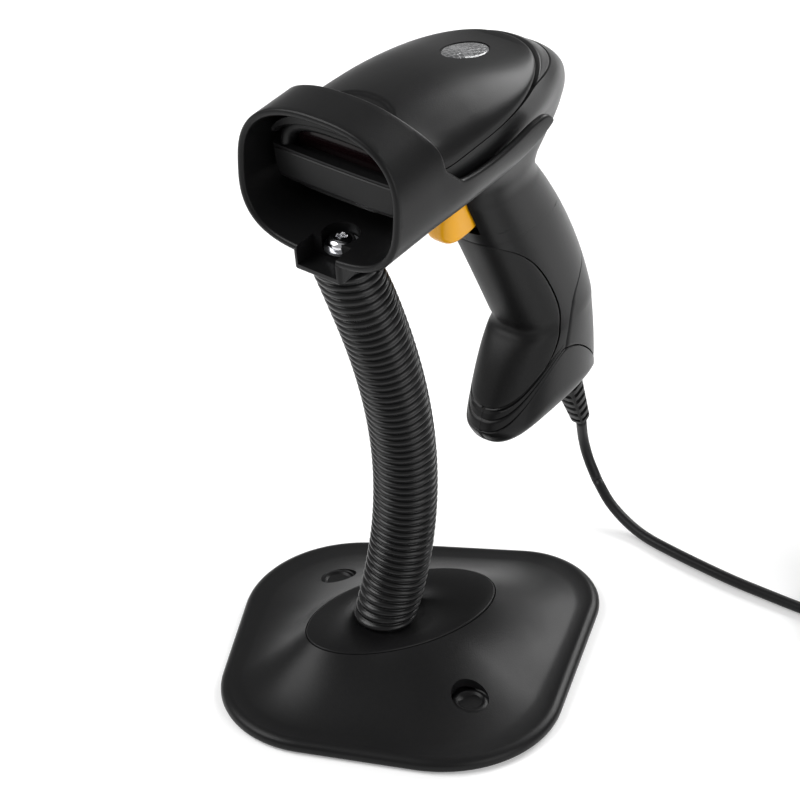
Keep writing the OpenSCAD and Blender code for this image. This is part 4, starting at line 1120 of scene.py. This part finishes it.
# ---------------------------------------------------------------- foot cap
# A moulded cap closes the end of the handle. A fine line runs round its toe, and the strain
# relief leaves through its heel.
def cap_ring(s, d):
    """Ring of the cap: s runs from its top edge at 0 to its underside at 1. A groove cuts the
    toe."""
    t = np.linspace(-90, 90, 97)
    p = casing_point(np.full(len(t), -119.0), t, d)
    low = handle_end - 2.6 * ease((104 - p[:, 1]) / 36)
    front = ease((-20 - t) / 40)
    z = mix(p[:, 2] - 0.25 - 0.7 * front, low, s)
    groove = 0.9 * np.exp(-((p[:, 2] - z - 0.15) / 0.35) ** 2) * front
    q = slice_point(np.maximum(z, handle_end), t, d + groove)
    q[:, 2] = z
    q[[0, -1], 0] = 0
    return both_sides(q)


def cap_rows():
    """Outer skin from the top edge down, rounded to the underside, and the underside closed."""
    rows = [(0.9, 3), (0.3, 2.2), (0, 2), (0, 0.5), (0.004, 0.18)]
    rows += [(s, 0) for s in [*np.linspace(0.012, 0.08, 8), *np.linspace(0.1, 0.6, 12)]]
    rows += [(0.6 + 0.4 * math.sin(a), 5.2 * (1 - math.cos(a)) ** 1.1)
             for a in np.linspace(0.1, math.pi / 2, 16)]
    return np.array([cap_ring(s, d) for s, d in rows])


cap = grid_mesh("handle_foot", in_head(cap_rows()[::-1]))
finish(cap, abs_black, "black_abs", "foot_cap")
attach(cap, "scanner")


# ---------------------------------------------------------------- trigger
# The amber trigger is moulded ABS with round edges. It stands in the slot of the casing and
# turns on a steel pin.
def trigger_ring(z, front, back, half):
    """Rounded rectangle at one height, as a superellipse."""
    c, s = (signed_power(v, 0.62) for v in circle(72))
    return np.stack([half * c, (front + back) / 2 + (back - front) / 2 * s, np.full(72, z)], 1)


trigger_front = smooth_table([(-56.6, 61.6), (-55.6, 58.6), (-52, 56.4), (-46, 56.8), (-40, 59),
                              (-34, 60), (-31, 62.5)])
trigger_back = smooth_table([(-56.6, 69), (-55.6, 73.5), (-52, 76.5), (-46, 76.2), (-40, 74.5),
                             (-34, 72.8), (-31, 72)])
heights = np.r_[-56.6, -56.5, -56.2, -55.8, np.linspace(-55.2, -31.4, 30), -31.1, -31]
widths = 6 - 2.2 * ease((-54.2 - heights) / 2.4) ** 1.3 - 1.6 * ease((heights + 32) / 1)
amber = moulded("amber_abs", (0.86, 0.40, 0.004), grain=900, depth=0.1, gloss=(0.24, 0.34),
                dust=0.015, shine=0.4)
lever = grid_mesh("trigger_lever", in_head(np.array([
    trigger_ring(z, trigger_front(z), trigger_back(z), w) for z, w in zip(heights, widths)])))
finish(lever, amber, "orange_abs", "trigger")
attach(lever, "trigger")


# ---------------------------------------------------------------- strain relief
# A ribbed PVC sleeve tapers from the heel of the foot cap towards the cable. Its rings are cut
# into it, and webs down its corners join them.
def relief_rows():
    """Rounded squares along an axis that leans 18 degrees from the handle. The size tapers, and
    ring grooves cut it except at four webs down its corners."""
    lean, length, pitch, groove_depth = math.radians(18), 33, 4.4, 1.3
    u = np.r_[-6, np.linspace(0, length, 170), 33.4, 33.6][:, None]
    a = np.linspace(0, 2 * np.pi, 64, endpoint=False)[None, :]
    square = (np.abs(np.cos(a)) ** 3.2 + np.abs(np.sin(a)) ** 3.2) ** (-1 / 3.2)
    size = mix(5.6, 3.3, np.clip(u / length, 0, 1)) - 1.2 * ease((u - length) / 0.6)
    k = ((u - 1.0) / pitch) % 1
    cut = ease((np.abs(k - 0.31) * 2 - 0.5) / 0.14) * (u > 1) * (u < 31.5)
    web = ease((np.abs(np.cos(2 * a)) - 0.2) / 0.2)
    r = size * square - groove_depth * cut * web
    x, y = r * np.cos(a), r * np.sin(a)
    return np.stack([x, 127 + y * math.cos(lean) + u * math.sin(lean),
                     handle_end + y * math.sin(lean) - u * math.cos(lean)], -1)


relief_pvc = moulded("relief_pvc", (0.005, 0.005, 0.0052), grain=1500, depth=0.3,
                     gloss=(0.34, 0.46), dust=0.02)
relief = grid_mesh("relief_sleeve", in_head(relief_rows()))
relief.data.set_sharp_from_angle(angle=math.radians(50))
finish(relief, relief_pvc, "black_abs", "strain_relief")
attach(relief, "scanner")


# ---------------------------------------------------------------- fittings and inner parts
# Steel fittings, circuit boards and inner mouldings keep their shapes and get their own
# surfaces: brushed steel, green lacquer with copper tracks, grey ABS, glass.
def circuit_board():
    """Green lacquered board with paler tracks in a fine brick net."""
    m = moulded("circuit_board", (0.01, 0.09, 0.035), grain=900, depth=0.1, gloss=(0.22, 0.34),
                dust=0.02)
    tree = m.node_tree
    place = add_node(tree, "TexCoord")
    bricks = add_node(tree, "TexBrick", {
        "Scale": 160, "Mortar Size": 0.035, "Color1": (0.008, 0.075, 0.03, 1),
        "Color2": (0.011, 0.095, 0.04, 1), "Mortar": (0.03, 0.2, 0.07, 1)})
    tone = add_node(tree, "Mix", {"Factor": 0.2}, data_type="RGBA", blend_type="MULTIPLY")
    wire(tree, (place, "Object", bricks, "Vector"), (bricks, "Color", tone, "A"),
         (tree.nodes["dust"], "Color", tone, "B"),
         (tone, "Result", tree.nodes["Principled BSDF"], "Base Color"))
    return m


def dressed(surface, *names):
    """Gives the nodes that keep their own shape a surface."""
    for name in names:
        node = bpy.data.objects[name]
        for slot in node.material_slots:
            slot.material = surface
        if not node.material_slots:
            node.data.materials.append(surface)


bright_steel = moulded("bright_steel", (0.52, 0.53, 0.55), grain=700, depth=0.12,
                       gloss=(0.2, 0.34), dust=0.03, metallic=1.0)
dull_steel = moulded("plated_steel", (0.36, 0.365, 0.37), grain=1000, depth=0.15,
                     gloss=(0.28, 0.42), dust=0.04, metallic=1.0)
mat_rubber = moulded("mat_rubber", (0.014, 0.014, 0.014), grain=700, depth=0.5,
                     gloss=(0.6, 0.75), dust=0.06)
inner_abs = moulded("inner_abs", (0.009, 0.009, 0.0095), grain=1200, depth=0.25,
                    gloss=(0.4, 0.5), dust=0.03)
dark_abs = moulded("optics_abs", (0.013, 0.013, 0.014), grain=1400, depth=0.2,
                   gloss=(0.5, 0.6), dust=0.02)
mirror_glass = moulded("mirror_glass", (0.78, 0.8, 0.81), grain=60, depth=0.02,
                       gloss=(0.03, 0.07), dust=0.02, metallic=1.0)
clear_pipe = moulded("light_pipe", (0.62, 0.64, 0.66), grain=200, depth=0.03,
                     gloss=(0.08, 0.16), dust=0.02, coat=0.4)
white_nylon = moulded("white_nylon", (0.55, 0.55, 0.53), grain=900, depth=0.15,
                      gloss=(0.35, 0.45), dust=0.03)
plug_steel = moulded("plug_steel", (0.58, 0.58, 0.59), grain=1200, depth=0.08,
                     gloss=(0.18, 0.3), dust=0.03, metallic=1.0)
dressed(dull_steel, "ballast_plate", "neck_nut", "neck_spacer", "lower_ferrule", "upper_ferrule")
dressed(bright_steel, "cup_washer", "trigger_pin", "trigger_spring", "frame_screws")
dressed(mat_rubber, "anti_slip_mat")
dressed(pane, "exit_window")
dressed(inner_abs, "inner_frame", "trigger_switch", "cable_socket")
dressed(dark_abs, "engine_chassis", "lens_barrel", "beeper")
dressed(circuit_board(), "main_board", "sensor_board", "light_board", "handle_board")
dressed(mirror_glass, "fold_mirror")
dressed(clear_pipe, "light_pipe")
dressed(white_nylon, "inner_plug")
dressed(plug_steel, "usb_shell")


# ---------------------------------------------------------------- cable tie
# A strap of black nylon holds the coil together. Its coarse, matt grain stands for the weave
# of the strap.
tie_nylon = moulded("tie_nylon", (0.016, 0.016, 0.017), grain=2600, depth=0.8,
                    gloss=(0.6, 0.75), dust=0.05)
dressed(tie_nylon, "coil_tie")


# ---------------------------------------------------------------- stage
# A pale seamless floor under one large soft key lamp from the front left, a fill lamp
# from the right and a rim lamp behind.
def stage_floor(half, glow_strength):
    """Flat square at desk level that shows white to the camera and keeps the shadows."""
    corners = np.array([(-half, -half, 0), (half, -half, 0), (half, half, 0), (-half, half, 0)])
    floor = mesh_object("floor", corners, [(0, 1, 2, 3)], smooth=False)
    m, tree, shader = new_material("floor_paper", {
        "Base Color": (0.86, 0.86, 0.86, 1), "Roughness": 0.8, "Emission Color": (1, 1, 1, 1)})
    path = add_node(tree, "LightPath")
    either = [add_node(tree, "Math", operation="MAXIMUM") for _ in range(2)]
    glow = add_node(tree, "Math", {1: glow_strength}, operation="MULTIPLY")
    wire(tree, (path, "Is Camera Ray", either[0], 0), (path, "Is Glossy Ray", either[0], 1),
         (either[0], 0, either[1], 0), (path, "Is Transmission Ray", either[1], 1),
         (either[1], 0, glow, 0), (glow, 0, shader, "Emission Strength"))
    floor.data.materials.append(m)


stage_floor(half=6, glow_strength=0.22)


def soft_lamp(name, place, target, size, power):
    """Rectangular area lamp at a place, aimed at a target."""
    lamp = bpy.data.lights.new(name, "AREA")
    lamp.shape = "RECTANGLE"
    lamp.size, lamp.size_y = size
    lamp.energy = power
    holder = bpy.data.objects.new(name, lamp)
    bpy.context.collection.objects.link(holder)
    holder.location = place
    aim = np.array(place) - np.array(target)
    holder.rotation_euler = Vector(aim).to_track_quat("Z", "Y").to_euler()


soft_lamp("key", (-0.5, -0.9, 1.1), (0, 0, 0.12), (0.9, 0.9), 16)
soft_lamp("fill", (1.3, 0.3, 0.7), (0, 0, 0.12), (0.8, 1.2), 9)
soft_lamp("rim", (-0.3, 1.2, 0.9), (0, 0, 0.15), (0.9, 0.6), 14)
world = bpy.data.worlds.new("studio")
bpy.context.scene.world = world
world.use_nodes = True
sky = world.node_tree.nodes["Background"]
sky.inputs["Color"].default_value = (1, 1, 1, 1)
sky.inputs["Strength"].default_value = 0.36
